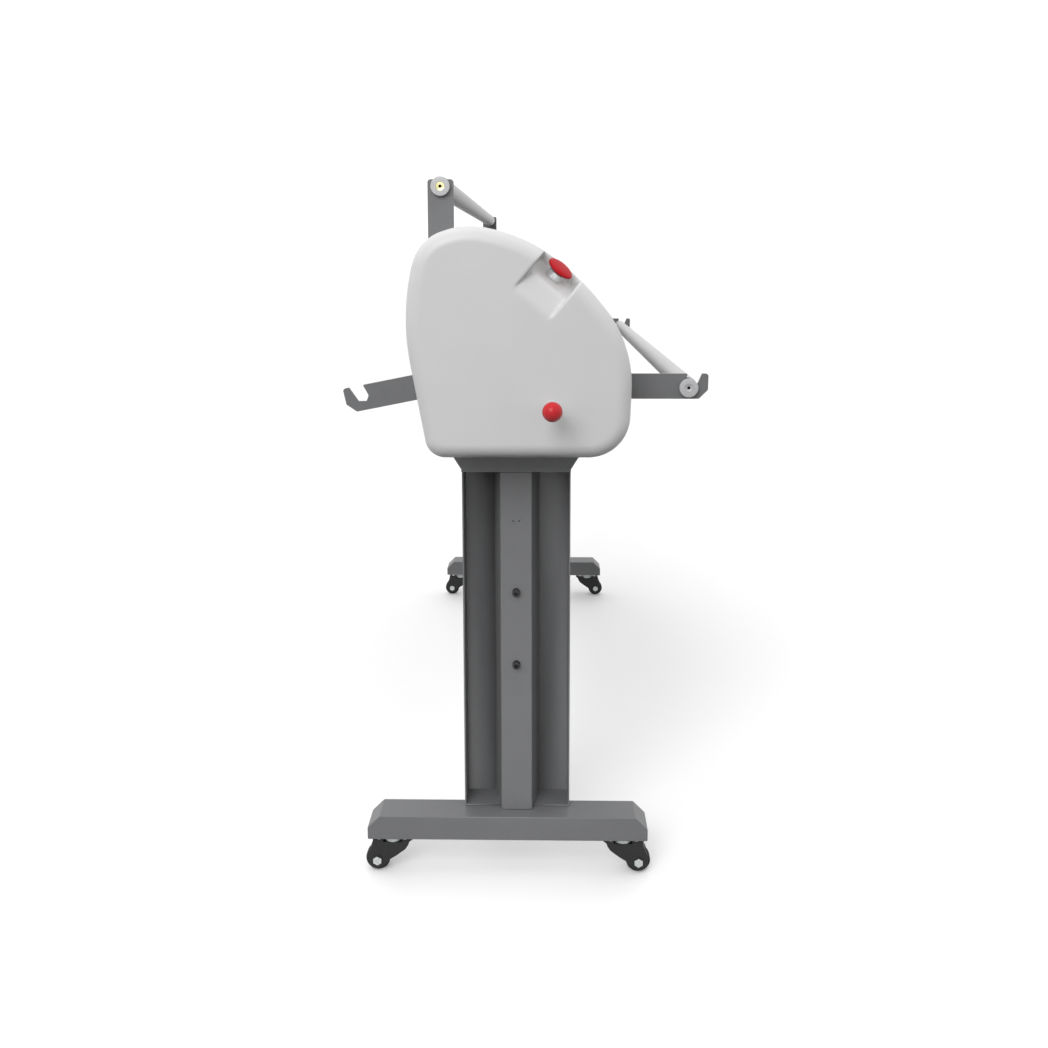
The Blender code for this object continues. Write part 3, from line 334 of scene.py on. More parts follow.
def across_machine():
    """Placement whose XY plane is the machine's Y and Z, looking along X."""
    return Matrix(((0, 0, 1, 0), (1, 0, 0, 0), (0, 1, 0, 0), (0, 0, 0, 1)))


def hexagon(width):
    """Corners of a hexagon that wide across its flats, with a corner at the top."""
    reach = width / math.sqrt(3)
    return [(reach * math.sin(math.tau * k / 6), reach * math.cos(math.tau * k / 6)) for k in range(6)]


def trim(piece, cutter, operation="DIFFERENCE"):
    """Cut a piece with a bmesh, or join the two, and keep the result as its mesh."""
    mesh = bpy.data.meshes.new("cutter")
    cutter.to_mesh(mesh)
    cutter.free()
    tool = bpy.data.objects.new("cutter", mesh)
    bpy.context.scene.collection.objects.link(tool)
    boolean = piece.modifiers.new("trim", "BOOLEAN")
    boolean.object = tool
    boolean.operation = operation
    boolean.solver = "EXACT"
    bake_modifiers(piece)
    bpy.data.objects.remove(tool)
    bpy.data.meshes.remove(mesh)
    return piece


def bake_modifiers(piece):
    """Replace a piece's mesh by the one that its modifiers make."""
    bpy.context.view_layer.update()
    evaluated = piece.evaluated_get(bpy.context.evaluated_depsgraph_get())
    made = bpy.data.meshes.new_from_object(evaluated)
    piece.modifiers.clear()
    old = piece.data
    piece.data = made
    made.name = piece.name
    bpy.data.meshes.remove(old)


def merged(*shapes):
    """One bmesh with the faces of several."""
    whole = shapes[0]
    for other in shapes[1:]:
        mesh = bpy.data.meshes.new("part")
        other.to_mesh(mesh)
        other.free()
        whole.from_mesh(mesh)
        bpy.data.meshes.remove(mesh)
    return whole


def block(low, high):
    """Bmesh of a box between two corners."""
    shape = bmesh.new()
    bmesh.ops.create_cube(shape, size=1.0)
    low, high = Vector(low), Vector(high)
    shape.transform(Matrix.Translation((low + high) / 2) @ Matrix.Diagonal((*(high - low), 1.0)))
    return shape


# ---- Covers ----

def arc_outline(corners, step=math.radians(1.5)):
    """Outline through corners of (y, z, radius)."""
    outline = []
    for index, (y, z, radius) in enumerate(corners):
        corner = Vector((y, z))
        before = (Vector(corners[index - 1][:2]) - corner).normalized()
        after = (Vector(corners[(index + 1) % len(corners)][:2]) - corner).normalized()
        half = before.angle(after) / 2
        centre = corner + (before + after).normalized() * radius / math.sin(half)
        start = corner + before * radius / math.tan(half) - centre
        turn = math.pi - 2 * half
        if before.x * after.y - before.y * after.x > 0:
            turn = -turn
        count = max(1, round(abs(turn) / step))
        for k in range(count + 1):
            outline.append(tuple(centre + Matrix.Rotation(turn * k / count, 2) @ start))
    return outline


def outline_distance(points, outline):
    """Signed distance from 2D points to a closed outline, negative inside it."""
    distance = np.full(len(points), np.inf)
    inside = np.zeros(len(points), bool)
    corners = np.array(outline)
    for start, end in zip(corners, np.roll(corners, -1, axis=0)):
        edge = end - start
        length = edge @ edge
        if length < WELD ** 2:
            continue
        offset = points - start
        share = np.clip(offset @ edge / length, 0.0, 1.0)
        gap = offset - share[:, None] * edge
        distance = np.minimum(distance, np.hypot(gap[:, 0], gap[:, 1]))
        crosses = (start[1] > points[:, 1]) != (end[1] > points[:, 1])
        rise = edge[1] if edge[1] != 0 else 1.0
        inside ^= crosses & (points[:, 0] < start[0] + offset[:, 1] * edge[0] / rise)
    return np.where(inside, -distance, distance)


def round_both(first, second, radius):
    """Distance to what two solids share, with a rounded edge where their faces meet."""
    corner = np.hypot(np.maximum(first + radius, 0.0), np.maximum(second + radius, 0.0))
    return np.minimum(-radius, np.maximum(first, second)) + corner


def scoop_section():
    """Section of the scoop, from the end face inwards and up from the slope's surface."""
    rise = math.tan(STOP_TILT)
    seat_in, seat_up = STOP_SEAT
    return [(SCOOP_BACK, 0.06), (SCOOP_BACK, seat_up + (SCOOP_BACK - seat_in) * rise),
            (SCOOP_LIP, seat_up + (SCOOP_LIP - seat_in) * rise), (-0.010, -0.110), (-0.05, -0.110),
            (-0.05, 0.06)]


def scoop_distance(points):
    """Distance from points of (outwards, y, z) to the scoop, negative inside it."""
    inwards = COVER_END - points[:, 0]
    y = points[:, 1] - SCOOP_ORIGIN[0]
    z = points[:, 2] - SCOOP_ORIGIN[1]
    up = z * math.cos(SLOPE) - y * math.sin(SLOPE)
    along = y * math.cos(SLOPE) + z * math.sin(SLOPE)
    section = fillets(scoop_section(), SCOOP_FOLDS, closed=True, steps=6)
    flat = outline_distance(np.stack((inwards, up), axis=1), section)
    return round_both(flat, np.abs(along) - SCOOP_HALF_WIDTH, SCOOP_FILLET)


def cover_distance(points, flat=None):
    """Distance from points of (outwards, y, z) to the cover's outer form."""
    if flat is None:
        flat = outline_distance(points[:, 1:], COVER_OUTLINE)
    form = round_both(flat, points[:, 0] - COVER_END, COVER_EDGE_RADIUS)
    return round_both(form, -scoop_distance(points), SCOOP_EDGE)


def net(values, axes):
    """Vertices and quads of the surface where a grid of values crosses zero."""
    inside = values < 0
    cells = np.array(values.shape) - 1
    total = np.zeros((*cells, 3))
    hits = np.zeros(cells)
    crossings = []
    for axis in range(3):
        near = [slice(None)] * 3
        far = [slice(None)] * 3
        near[axis] = slice(0, -1)
        far[axis] = slice(1, None)
        near, far = tuple(near), tuple(far)
        where = np.argwhere(inside[near] != inside[far])
        start = values[near][tuple(where.T)]
        end = values[far][tuple(where.T)]
        point = where.astype(float)
        point[:, axis] += start / (start - end)
        crossings.append((where, start < 0))
        for first in (0, 1):
            for second in (0, 1):
                cell = where.copy()
                cell[:, (axis + 1) % 3] -= first
                cell[:, (axis + 2) % 3] -= second
                real = np.all((cell >= 0) & (cell < cells), axis=1)
                np.add.at(total, tuple(cell[real].T), point[real])
                np.add.at(hits, tuple(cell[real].T), 1)
    used = hits > 0
    number = np.full(cells, -1)
    number[used] = np.arange(used.sum())
    lattice = total[used] / hits[used][:, None]
    step = np.array([axis[1] - axis[0] for axis in axes])
    verts = lattice * step + np.array([axis[0] for axis in axes])
    quads = []
    for axis, (where, outwards) in enumerate(crossings):
        loop = []
        for first, second in ((1, 1), (0, 1), (0, 0), (1, 0)):
            cell = where.copy()
            cell[:, (axis + 1) % 3] -= first
            cell[:, (axis + 2) % 3] -= second
            real = np.all((cell >= 0) & (cell < cells), axis=1)
            safe = np.clip(cell, 0, cells - 1)
            loop.append(np.where(real, number[tuple(safe.T)], -1))
        loop = np.stack(loop, axis=1)
        loop[~outwards] = loop[~outwards][:, ::-1]
        quads.append(loop[np.all(loop >= 0, axis=1)])
    return verts, np.concatenate(quads)


def settle(points, rounds=3, step=0.0002):
    """Move points onto the cover's surface along its slope."""
    for _ in range(rounds):
        value = cover_distance(points)
        slope = np.stack([cover_distance(points + step * way) - value for way in np.eye(3)], axis=1)
        slope /= step
        size = np.maximum((slope ** 2).sum(axis=1), 0.25)       # so that a crease throws no point off
        points = points - slope * (value / size)[:, None]
    return points


def cover_skin():
    """Vertices and quads of the cover's outer skin, open at its rim."""
    outline = np.array(COVER_OUTLINE)
    margin = 2 * COVER_CELL
    axes = [np.arange(COVER_RIM - COVER_CELL, COVER_END + margin, COVER_CELL)]
    for k in range(2):
        axes.append(np.arange(outline[:, k].min() - margin, outline[:, k].max() + margin, COVER_CELL))
    plane = np.stack(np.meshgrid(axes[1], axes[2], indexing="ij"), axis=-1).reshape(-1, 2)
    flat = outline_distance(plane, COVER_OUTLINE)
    grid = np.stack(np.meshgrid(*axes, indexing="ij"), axis=-1).reshape(-1, 3)
    values = cover_distance(grid, np.tile(flat, len(axes[0])))
    verts, quads = net(values.reshape([len(axis) for axis in axes]), axes)
    verts = settle(verts)
    verts[:, 0] = np.maximum(verts[:, 0], COVER_RIM)
    return verts, quads


def scoop_frame(side):
    """Inwards from the end face, out of the slope, and along it, with the scoop's origin."""
    normal = Vector((0.0, -math.sin(SLOPE), math.cos(SLOPE)))
    inwards = Vector((-side, 0.0, 0.0))
    placement = Matrix.Identity(4)
    placement.col[0][:3] = inwards
    placement.col[1][:3] = normal
    placement.col[2][:3] = inwards.cross(normal)
    placement.col[3][:3] = (MIDDLE_X + side * COVER_END, *SCOOP_ORIGIN)
    return placement


def stop_place(side):
    """Seat of an emergency stop and the way it points."""
    placement = scoop_frame(side)
    seat = placement @ Vector((*STOP_SEAT, 0.0))
    axis = placement.col[1].xyz * math.cos(STOP_TILT) - placement.col[0].xyz * math.sin(STOP_TILT)
    return seat, axis.normalized()


def arm_slot(label, side, arm, clear=0.0008):
    """Cutter for the slot where an arm passes through the cover's rim."""
    shape = bmesh.new()
    shape.from_mesh(frame["nodes"][label + arm].data)
    bmesh.ops.remove_doubles(shape, verts=shape.verts, dist=WELD)
    hull = bmesh.ops.convex_hull(shape, input=shape.verts)
    bmesh.ops.delete(shape, geom=hull["geom_interior"], context="VERTS")
    hull_faces = {item for item in hull["geom"] if isinstance(item, bmesh.types.BMFace)}
    bmesh.ops.delete(shape, geom=[face for face in shape.faces if face not in hull_faces],
                     context="FACES")
    centre = middle(label + arm)
    low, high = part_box(label + arm)
    size = high - low
    grow = Matrix.Diagonal([1 + 2 * clear / length for length in size] + [1.0])
    shape.transform(Matrix.Translation(centre) @ grow @ Matrix.Translation(-centre))
    reach = COVER_RIM - 0.003
    for vert in shape.verts:
        if side * (vert.co.x - MIDDLE_X) < side * (centre.x - MIDDLE_X):
            vert.co.x = MIDDLE_X + side * reach
    bmesh.ops.recalc_face_normals(shape, faces=shape.faces)
    return shape


COVER_OUTLINE = arc_outline(COVER_CORNERS)
skin_verts, skin_quads = cover_skin()


def make_cover(label, side):
    """Moulded end cover with its scoop, arm slots, stop hole and, on the left, rod hole."""
    verts = skin_verts * (side, 1.0, 1.0) + (MIDDLE_X, 0.0, 0.0)
    quads = skin_quads if side > 0 else skin_quads[:, ::-1]
    mesh = bpy.data.meshes.new("skin")
    mesh.from_pydata(verts.tolist(), [], quads.tolist())
    shape = bmesh.new()
    shape.from_mesh(mesh)
    bpy.data.meshes.remove(mesh)
    node = label + "_cover"
    cover = publish(node + "_moulding", shape, node, stands_for=(node,))
    wall = cover.modifiers.new("wall", "SOLIDIFY")
    wall.thickness = COVER_WALL
    wall.offset = -1.0
    seat, axis = stop_place(side)
    bore = [(0.0, 0.006), (STOP_HOLE_RADIUS, 0.006), (STOP_HOLE_RADIUS, -0.014), (0.0, -0.014)]
    cutters = [lathe(bore, seat, axis, 40, 0.0)]
    cutters += [arm_slot(label, side, arm) for arm in ("_front_arm", "_rear_arm", "_supply_bracket")]
    if label == "left":
        rod_middle = middle("lift_rod")
        hole = [(0.0, 0.02), (0.007, 0.02), (0.007, -0.02), (0.0, -0.02)]
        place = (MIDDLE_X + side * COVER_END, rod_middle.y, rod_middle.z)
        cutters.append(lathe(hole, place, (side, 0, 0), 40, 0.0))
    trim(cover, merged(*cutters))
    smooth(cover.data, math.radians(38))
    return cover


# ---- Emergency stops and lift knob ----

def make_stop(label, side):
    """Mushroom button, its silver collar, and the nut and contact block under the cover."""
    seat, axis = stop_place(side)
    base = label + "_stop_base"
    button = label + "_stop_button"
    ring = STOP_COLLAR_RADIUS
    thread = STOP_HOLE_RADIUS - 0.0003
    collar = [(0.0055, 0.0150), (ring - 0.0022, 0.0150), (ring - 0.0006, 0.0136), (ring - 0.0006, 0.0045),
              (ring, 0.0040), (ring, 0.0003), (thread, 0.0003), (thread, -0.0130), (0.0055, -0.0130)]
    publish(label + "_stop_collar", lathe(collar, seat, axis, 72, 0.0004), base, COLLAR_SILVER,
            stands_for=(base,))
    nut = [(0.0112, -0.0050), (0.0150, -0.0050), (0.0150, -0.0085), (0.0112, -0.0085)]
    publish(label + "_stop_nut", lathe(nut + nut[:1], seat, axis, 12, 0.0), base)
    contact = [(0.0080, -0.0140), (0.0150, -0.0140), (0.0150, -0.0440), (0.0080, -0.0440)]
    publish(label + "_stop_contact_block", lathe(contact + contact[:1], seat, axis, 4, 0.0), base,
            FINISHES["black_plastic"])
    rim = STOP_CAP_RADIUS
    cap = [(0.0, 0.0274), (0.0090, 0.0272), (0.0180, 0.0266), (rim - 0.0040, 0.0257), (rim - 0.0010, 0.0242),
           (rim - 0.0001, 0.0228), (rim - 0.0001, 0.0206), (rim - 0.0018, 0.0192), (ring + 0.0024, 0.0186),
           (ring + 0.0012, 0.0240), (0.0050, 0.0240), (0.0050, -0.0110), (0.0, -0.0110)]
    publish(label + "_stop_mushroom", lathe(cap, seat, axis, 96, 0.0012), button, MUSHROOM_RED,
            stands_for=(button,))


def make_lift_knob():
    """Ball knob and the lift rod that it is screwed on."""
    low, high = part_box("lift_knob")
    radius = (high.z - low.z) / 2
    rod_low, rod_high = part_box("lift_rod")
    rod_radius = (rod_high.z - rod_low.z) / 2
    centre = Vector((low.x + radius, middle("lift_knob").y, middle("lift_knob").z))
    flat = centre.x - high.x
    last = math.acos(flat / radius)
    ball = [(radius * math.sin(last * k / 40), radius * math.cos(last * k / 40)) for k in range(41)]
    ball += [(rod_radius + 0.0003, flat), (rod_radius + 0.0003, 0.004), (0.0, 0.004)]
    publish("lift_knob_ball", lathe(ball, centre, (-1, 0, 0), 96, 0.0002), "lift_knob",
            stands_for=("lift_knob",))
    length = rod_high.x - rod_low.x
    rod = [(0.0, length), (rod_radius, length), (rod_radius, 0.0), (0.0, 0.0)]
    start = (rod_low.x, centre.y, centre.z)
    publish("lift_rod_bar", lathe(rod, start, (1, 0, 0), 48), "lift_rod", stands_for=("lift_rod",))


# ---- Rollers and media tubes ----

def turned_node(node, name, profile, steps=96, radius=0.0008, material=None, stands_for=None):
    """Piece turned about a node's own X axis; heights run from the middle of the stand."""
    centre = middle(node)
    shape = lathe(profile, (MIDDLE_X, centre.y, centre.z), (1, 0, 0), steps, radius)
    return publish(name, shape, node, material, stands_for=(node,) if stands_for is None else stands_for)


def make_roller(name):
    """Steel core with stepped journals, and its ground rubber sleeve."""
    sleeve_low, sleeve_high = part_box(name + "_sleeve")
    core_low, core_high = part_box(name + "_core")
    outer = (sleeve_high.z - sleeve_low.z) / 2
    core = (core_high.z - core_low.z) / 2
    face = (sleeve_high.x - sleeve_low.x) / 2
    left = core_low.x - MIDDLE_X
    right = core_high.x - MIDDLE_X
    half = face + 0.002
    journal = 0.015
    bore = 0.005
    profile = [(bore, right), (journal, right), (journal, half + 0.018), (journal + 0.006, half + 0.018),
               (journal + 0.006, half), (core, half), (core, -half), (journal + 0.006, -half),
               (journal + 0.006, -half - 0.018), (journal, -half - 0.018), (journal, left), (bore, left)]
    turned_node(name + "_core", name + "_shaft", profile + profile[:1])
    rubber = [(core + 0.0003, face), (outer, face), (outer, -face), (core + 0.0003, -face)]
    turned_node(name + "_sleeve", name + "_rubber", rubber + rubber[:1], steps=128, radius=0.0025)


def make_tube(node, inner_colour):
    """Media tube with pressed-in plugs, stub pins, end discs and a core in each disc."""
    low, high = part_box(node)
    radius = (high.z - low.z) / 2
    end = (high.x - low.x) / 2
    disc = 0.018
    disc_in = end - 0.008
    tube_end = end - 0.025
    pin = 0.004
    bore = radius - 0.0025
    tube = [(bore, tube_end), (radius, tube_end), (radius, -tube_end), (bore, -tube_end)]
    turned_node(node, node + "_wall", tube + tube[:1])
    core = 0.0085
    hole = 0.0030
    plug = [(0.0, tube_end - 0.001), (bore - 0.0002, tube_end - 0.001), (bore - 0.0002, tube_end - 0.012),
            (0.0, tube_end - 0.012)]
    pin_bar = [(0.0, disc_in - 0.012), (hole, disc_in - 0.012), (hole, disc_in + 0.001),
               (pin, disc_in + 0.001), (pin, tube_end - 0.002), (0.0, tube_end - 0.002)]
    ring = [(core, end - 0.0004), (disc, end - 0.0004), (disc, disc_in), (pin, disc_in),
            (pin, disc_in + 0.002), (core, disc_in + 0.002)]
    insert = [(hole, end - 0.0032), (core - 0.0001, end - 0.0005), (core - 0.0001, disc_in + 0.0022),
              (hole, disc_in + 0.0022)]
    for label, side in SIDES:
        for suffix, profile, material in (("plug", plug, FINISHES["black_plastic"]),
                                          ("pin", pin_bar, FINISHES["black_oxide"]),
                                          ("disc", ring + ring[:1], END_DISC),
                                          ("insert", insert + insert[:1], inner_colour)):
            flipped = [(distance, side * height) for distance, height in profile]
            turned_node(node, "_".join((node, label, suffix)), flipped, radius=0.0005, steps=64,
                        material=material, stands_for=())


# ---- Stand fittings ----

def make_socket_bolt(node, side):
    """Socket-head cap screw, lying along X."""
    low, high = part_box(node)
    head = (high.z - low.z) / 2
    centre = middle(node)
    outer = high.x if side > 0 else low.x
    head_height = 0.010
    length = high.x - low.x
    shank = 0.005
    profile = [(0.0, 0.0), (head - 0.0010, 0.0), (head, -0.0010), (head, -head_height), (shank, -head_height),
               (shank, -length), (0.0, -length)]
    shape = lathe(profile, (outer, centre.y, centre.z), (side, 0, 0), 64, 0.0004)
    bolt = publish(node + "_screw", shape, node, stands_for=(node,))
    turn = Vector((side, 0, 0)).to_track_quat("Z", "Y").to_matrix().to_4x4()
    placement = Matrix.Translation((outer, centre.y, centre.z)) @ turn
    trim(bolt, slab(hexagon(0.008), -0.006, 0.004, placement))
    smooth(bolt.data)


def fork_outline(outwards, trail):
    """Side view of a caster's fork from its swivel axis: a horn that ends round the wheel's hub."""
    top = 0.0712
    corners = [(-0.0410, 0.0698), (-0.0345, 0.0655), (-0.0325, 0.0590), (-0.0262, 0.0490),
               (-0.0070, 0.0345), (0.0075, 0.0255), (trail - 0.0165, 0.0150), (trail - 0.004, 0.0065),
               (trail + 0.010, 0.0065), (trail + 0.0195, 0.0180), (trail + 0.0195, 0.036),
               (0.0425, 0.060), (0.0412, 0.0690)]
    curve = [(0.0412, top), (-0.041, top), *fillets(corners, 0.020, steps=6)]
    return [(outwards * across, up) for across, up in curve]


def make_caster(label, side, end, outwards):
    """Swivel caster: bolted plate and race, moulded fork, wheel with its hub, and hex axle bolt."""
    name = "_".join((label, end, "caster"))
    plate, fork, wheel = name + "_plate", name + "_fork", name + "_wheel"
    plate_low, plate_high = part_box(plate)
    swivel = Vector((middle(plate).x, middle(plate).y, 0.0))
    hub = middle(wheel)
    wheel_low, wheel_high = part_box(wheel)
    radius = (wheel_high.z - wheel_low.z) / 2
    half_wheel = (wheel_high.x - wheel_low.x) / 2
    axle_low, axle_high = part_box(fork)
    half_axle = (axle_high.x - axle_low.x) / 2

    half = (plate_high - plate_low) / 2
    corners = [(-half.x, -half.y), (half.x, -half.y), (half.x, half.y), (-half.x, half.y)]
    shape = slab(fillets(corners, 0.006, closed=True), plate_high.z - 0.0025, plate_high.z,
                 Matrix.Translation(swivel))
    soften(publish(name + "_top_plate", shape, plate, stands_for=(plate,)), 0.0004)
    race_radius = 0.0184
    race = [(0.0, plate_high.z - 0.0026), (race_radius, plate_high.z - 0.0026), (race_radius, 0.0745),
            (race_radius - 0.0012, 0.0738), (race_radius, 0.0730), (race_radius, plate_low.z + 0.0010),
            (race_radius - 0.0012, plate_low.z + 0.0001), (0.0, plate_low.z + 0.0001)]
    publish(name + "_race", lathe(race, swivel, (0, 0, 1), 64, 0.0005), plate, RACE_ZINC)
    for k, (across, along) in enumerate(((-1, -1), (1, -1), (1, 1), (-1, 1))):
        place = Matrix.Translation(swivel + Vector((across * 0.0215, along * 0.0265, 0.0)))
        head = slab(hexagon(0.008), plate_high.z - 0.0060, plate_high.z - 0.0026, place)
        soften(publish(f"{name}_plate_bolt_{k}", head, plate), 0.0004)

    trail = abs(hub.y - swivel.y)
    half_fork = 0.017
    body = slab(fork_outline(outwards, trail), swivel.x - half_fork, swivel.x + half_fork,
                Matrix.Translation((0, swivel.y, 0)) @ across_machine())
    horn = publish(name + "_fork_moulding", body, fork, stands_for=(fork,))
    half_pocket = race_radius + 0.001
    trim(horn, block(swivel + Vector((-half_pocket, -half_pocket, plate_low.z - 0.0003)),
                     swivel + Vector((half_pocket, half_pocket, 0.080))))
    slot = half_wheel + 0.001
    trim(horn, block(hub - Vector((slot, radius + 0.003, 0.06)),
                     hub + Vector((slot, radius + 0.010, radius + 0.002))))
    for way in (-1, 1):
        boss = [(0.0, 0.0012), (0.0108, 0.0012), (0.0112, -0.003), (0.0, -0.003)]
        trim(horn, lathe(boss, (hub.x + way * half_fork, hub.y, hub.z), (way, 0, 0), 48, 0.0002), "UNION")
    smooth(horn.data)
    soften(horn, 0.0009)

    tread = [(0.0165, half_wheel - 0.0022), (0.0185, half_wheel), (0.0222, half_wheel),
             (radius, half_wheel - 0.0035), (radius, 0.0035 - half_wheel), (0.0222, -half_wheel),
             (0.0185, -half_wheel), (0.0165, 0.0022 - half_wheel)]
    publish(name + "_tyre", lathe(tread + tread[:1], hub, (1, 0, 0), 72, 0.0015), wheel, stands_for=(wheel,))
    core = [(0.0043, half_wheel), (0.0090, half_wheel), (0.0095, half_wheel - 0.0030),
            (0.0164, half_wheel - 0.0030), (0.0164, 0.0030 - half_wheel), (0.0095, 0.0030 - half_wheel),
            (0.0090, -half_wheel), (0.0043, -half_wheel)]
    publish(name + "_hub", lathe(core + core[:1], hub, (1, 0, 0), 64, 0.0004), wheel,
            FINISHES["black_plastic"])

    half_shank = half_axle - 0.0015
    shank = [(0.0, half_shank), (0.0040, half_shank), (0.0040, -half_shank), (0.0, -half_shank)]
    publish(name + "_axle", lathe(shank, hub, (1, 0, 0), 32, 0.0005), fork, FINISHES["zinc"])
    face = half_fork + 0.0012
    for kind, way in (("head", side), ("nut", -side)):
        low, high = sorted((way * face, way * half_axle))
        head = slab(hexagon(0.0170), low, high, Matrix.Translation(hub) @ across_machine())
        bolt = publish(f"{name}_axle_{kind}", head, fork, FINISHES["zinc"])
        dish = [(0.0, half_axle + 0.001), (0.0052, half_axle + 0.001), (0.0040, half_axle - 0.0008),
                (0.0, half_axle - 0.0008)]
        flipped = [(distance, way * up) for distance, up in dish]
        trim(bolt, lathe(flipped, hub, (1, 0, 0), 48, 0.0))
        soften(bolt, 0.0007)


# ---- Control box, dial and inlet ----

def make_controls():
    """Control box with its fluted speed dial and scale, and the pins of the mains inlet."""
    panel_low, panel_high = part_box("control_panel")
    panel = block(panel_low, panel_high)
    soften(publish("control_panel_housing", panel, "control_panel", stands_for=("control_panel",)), 0.003, 4)
    dial = middle("speed_dial")
    dial_low, dial_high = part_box("speed_dial")
    radius = (dial_high.x - dial_low.x) / 2
    depth = dial_high.y - dial_low.y
    face = Vector((dial.x, dial_high.y, dial.z))
    fluted = []
    for k in range(120):
        angle = math.tau * k / 120
        reach = radius - 0.0016 + 0.0006 * math.cos(15 * angle)
        fluted.append((reach * math.cos(angle), reach * math.sin(angle)))
    forward = Matrix.Translation(face) @ Vector((0, -1, 0)).to_track_quat("Z", "Y").to_matrix().to_4x4()
    grip = slab(fluted, 0.003, depth, forward)
    soften(publish("speed_dial_grip", grip, "speed_dial", stands_for=("speed_dial",)), 0.0008, 3,
           math.radians(50))
    skirt = [(0.0, 0.0045), (radius - 0.001, 0.0045), (radius, 0.0030), (radius, 0.0003), (0.0, 0.0003)]
    publish("speed_dial_skirt", lathe(skirt, face, (0, -1, 0), 64, 0.0003), "speed_dial")
    pointer = slab([(-0.0006, 0.004), (0.0006, 0.004), (0.0006, radius - 0.003), (-0.0006, radius - 0.003)],
                   depth - 0.0004, depth + 0.0002, forward)
    publish("speed_dial_pointer", pointer, "speed_dial", WHITE_MARK)
    ticks = []
    for k in range(11):
        turn = Matrix.Rotation(math.radians(-135 + 27 * k), 4, "Z")
        start = radius + 0.0030
        length = 0.0040 if k % 5 == 0 else 0.0025
        tick = [(-0.0004, start), (0.0004, start), (0.0004, start + length), (-0.0004, start + length)]
        ticks.append(slab(tick, -0.0002, 0.0002, forward @ turn))
    publish("speed_scale", merged(*ticks), "control_panel", WHITE_MARK)
    for number, x in enumerate((panel_low.x + 0.010, panel_high.x - 0.010)):
        for height, z in enumerate((panel_low.z + 0.010, panel_high.z - 0.010)):
            head = [(0.0, 0.0010), (0.0016, 0.0009), (0.0030, 0.0), (0.0, 0.0)]
            screw = lathe(head, (x, panel_low.y, z), (0, -1, 0), 32, 0.0002)
            publish(f"panel_screw_{number}_{height}", screw, "control_panel", FINISHES["black_oxide"])
    inlet = middle("power_inlet")
    inlet_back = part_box("power_inlet")[1].y
    for number, (x, z) in enumerate(((-0.007, -0.002), (0.007, -0.002), (0.0, 0.003))):
        place = Vector((inlet.x + x, inlet_back, inlet.z + z))
        pin = block(place - Vector((0.001, 0.018, 0.002)), place + Vector((0.001, -0.004, 0.002)))
        soften(publish(f"power_inlet_pin_{number}", pin, "power_inlet", BRASS), 0.0004)
    refined("power_inlet", fold=0.0012, edge=0.0003)


# ---- Assembly ----

for label, side in SIDES:
    make_cover(label, side)
    make_stop(label, side)
    for level in ("lower", "upper"):
        make_socket_bolt(f"{label}_{level}_bolt", side)
    for end, outwards in ENDS:
        make_caster(label, side, end, outwards)
make_lift_knob()
for roller in ("bottom_roller", "top_roller"):
    make_roller(roller)
make_tube("supply_tube", BRASS)
make_tube("front_tube", END_DISC)
make_controls()
for node in sorted(frame["nodes"]):
    if not frame["nodes"][node].hide_render:
        refined(node)


# ---- Studio ----

FLOOR_REACH = 150.0                         # far enough for its edge to lie on the horizon
SKY_BELOW = 0.06
SKY_ABOVE = 1.16
SKY_FRONT = 0.50                            # share of the sky's light left behind the camera
CAMERA_PLACE = (-2.919, -0.0346, 1.2642)    # from the middle of the stand
CAMERA_YAW = math.radians(1.053)            # to the left of straight along the rollers
CAMERA_PITCH = math.radians(-7.91)
CAMERA_ROLL = math.radians(-0.092)
CAMERA_LENS = 35.73                         # millimetres, on a sensor 36 mm wide
CAMERA_SHIFT = -0.1164


def make_floor():
    """Pale floor, which runs out of sight."""
    shape = bmesh.new()
    bmesh.ops.create_grid(shape, x_segments=8, y_segments=8, size=FLOOR_REACH)
    mesh = bpy.data.meshes.new("floor")
    shape.to_mesh(mesh)
    shape.free()
    floor = bpy.data.objects.new("floor", mesh)
    mesh.materials.append(finish("floor_paint", (0.965, 0.965, 0.965), 0.60, mottle=0.004, mottle_size=0.5,
                                 grain=0.02, grain_size=0.01))
    floor.visible_diffuse = False
    bpy.context.scene.collection.objects.link(floor)


def make_light(name, place, target, size, watts, spread=180.0):
    """Soft square light aimed at a point, shining within an angle in degrees."""
    lamp = bpy.data.lights.new(name, "AREA")
    lamp.spread = math.radians(spread)
    lamp.shape = "SQUARE"
    lamp.size = size
    lamp.energy = watts
    holder = bpy.data.objects.new(name, lamp)
    holder.location = place
    holder.rotation_euler = (Vector(target) - Vector(place)).to_track_quat("-Z", "Y").to_euler()
    bpy.context.scene.collection.objects.link(holder)


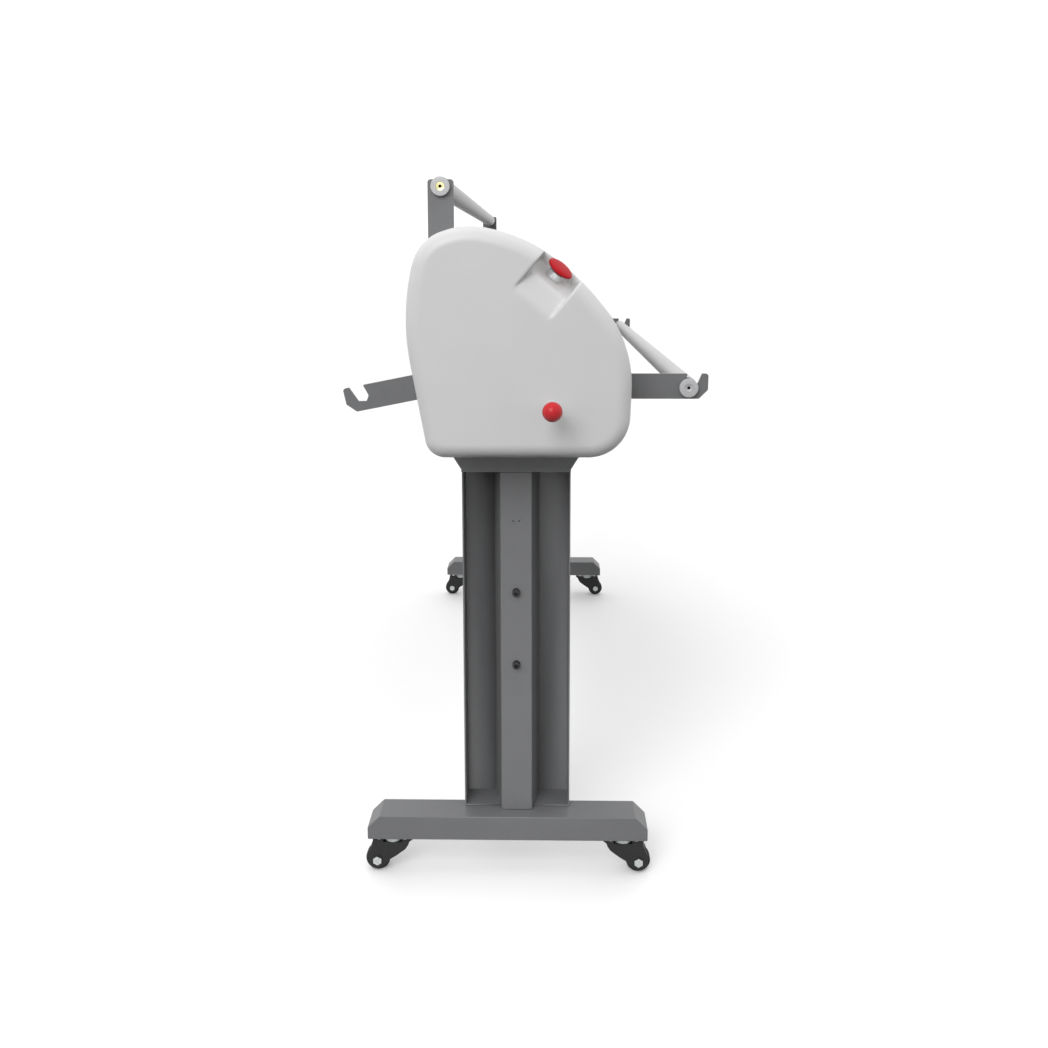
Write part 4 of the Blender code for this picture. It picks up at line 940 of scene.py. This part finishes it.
def make_sky():
    """White dome above the horizon, dimmer on the camera's side, with a faint glow below."""
    world = bpy.data.worlds.new("studio")
    world.use_nodes = True
    nodes, links = world.node_tree.nodes, world.node_tree.links
    background = nodes["Background"]
    background.inputs["Color"].default_value = (1.0, 1.0, 1.0, 1.0)
    place = nodes.new("ShaderNodeTexCoord")
    split = nodes.new("ShaderNodeSeparateXYZ")
    links.new(place.outputs["Generated"], split.inputs["Vector"])
    product = nodes.new("ShaderNodeMath")
    product.operation = "MULTIPLY"
    for number, (axis, low, dim, bright) in enumerate((("Z", -0.06, SKY_BELOW, SKY_ABOVE),
                                                       ("X", -1.0, SKY_FRONT, 1.0))):
        band = nodes.new("ShaderNodeMapRange")
        band.interpolation_type = "SMOOTHSTEP"
        for key, value in (("From Min", low), ("From Max", 0.0), ("To Min", dim), ("To Max", bright)):
            band.inputs[key].default_value = value
        links.new(split.outputs[axis], band.inputs["Value"])
        links.new(band.outputs["Result"], product.inputs[number])
    links.new(product.outputs["Value"], background.inputs["Strength"])
    bpy.context.scene.world = world


def make_camera():
    """Camera that looks along the rollers at the left end."""
    data = bpy.data.cameras.new("camera")
    data.lens = CAMERA_LENS
    data.sensor_width = 36.0
    data.shift_y = CAMERA_SHIFT
    data.clip_end = 500.0
    camera = bpy.data.objects.new("camera", data)
    forward = Vector((math.cos(CAMERA_PITCH) * math.cos(CAMERA_YAW),
                      math.cos(CAMERA_PITCH) * math.sin(CAMERA_YAW), math.sin(CAMERA_PITCH)))
    aim = forward.to_track_quat("-Z", "Y").to_matrix().to_4x4()
    camera.matrix_world = (Matrix.Translation(Vector(CAMERA_PLACE) + Vector((MIDDLE_X, 0, 0))) @ aim
                           @ Matrix.Rotation(CAMERA_ROLL, 4, "Z"))
    bpy.context.scene.collection.objects.link(camera)
    bpy.context.scene.camera = camera


make_floor()
make_sky()
make_light("key", (MIDDLE_X - 4.8, 1.3, 3.5), (MIDDLE_X - 1.0, 0.0, 0.9), 2.6, 138.0)
make_light("fill", (MIDDLE_X - 2.9, 0.0, 0.12), (MIDDLE_X - 0.9, 0.0, 0.22), 0.6, 0.15, spread=24.0)
make_camera()
bpy.context.scene.view_settings.view_transform = "Standard"
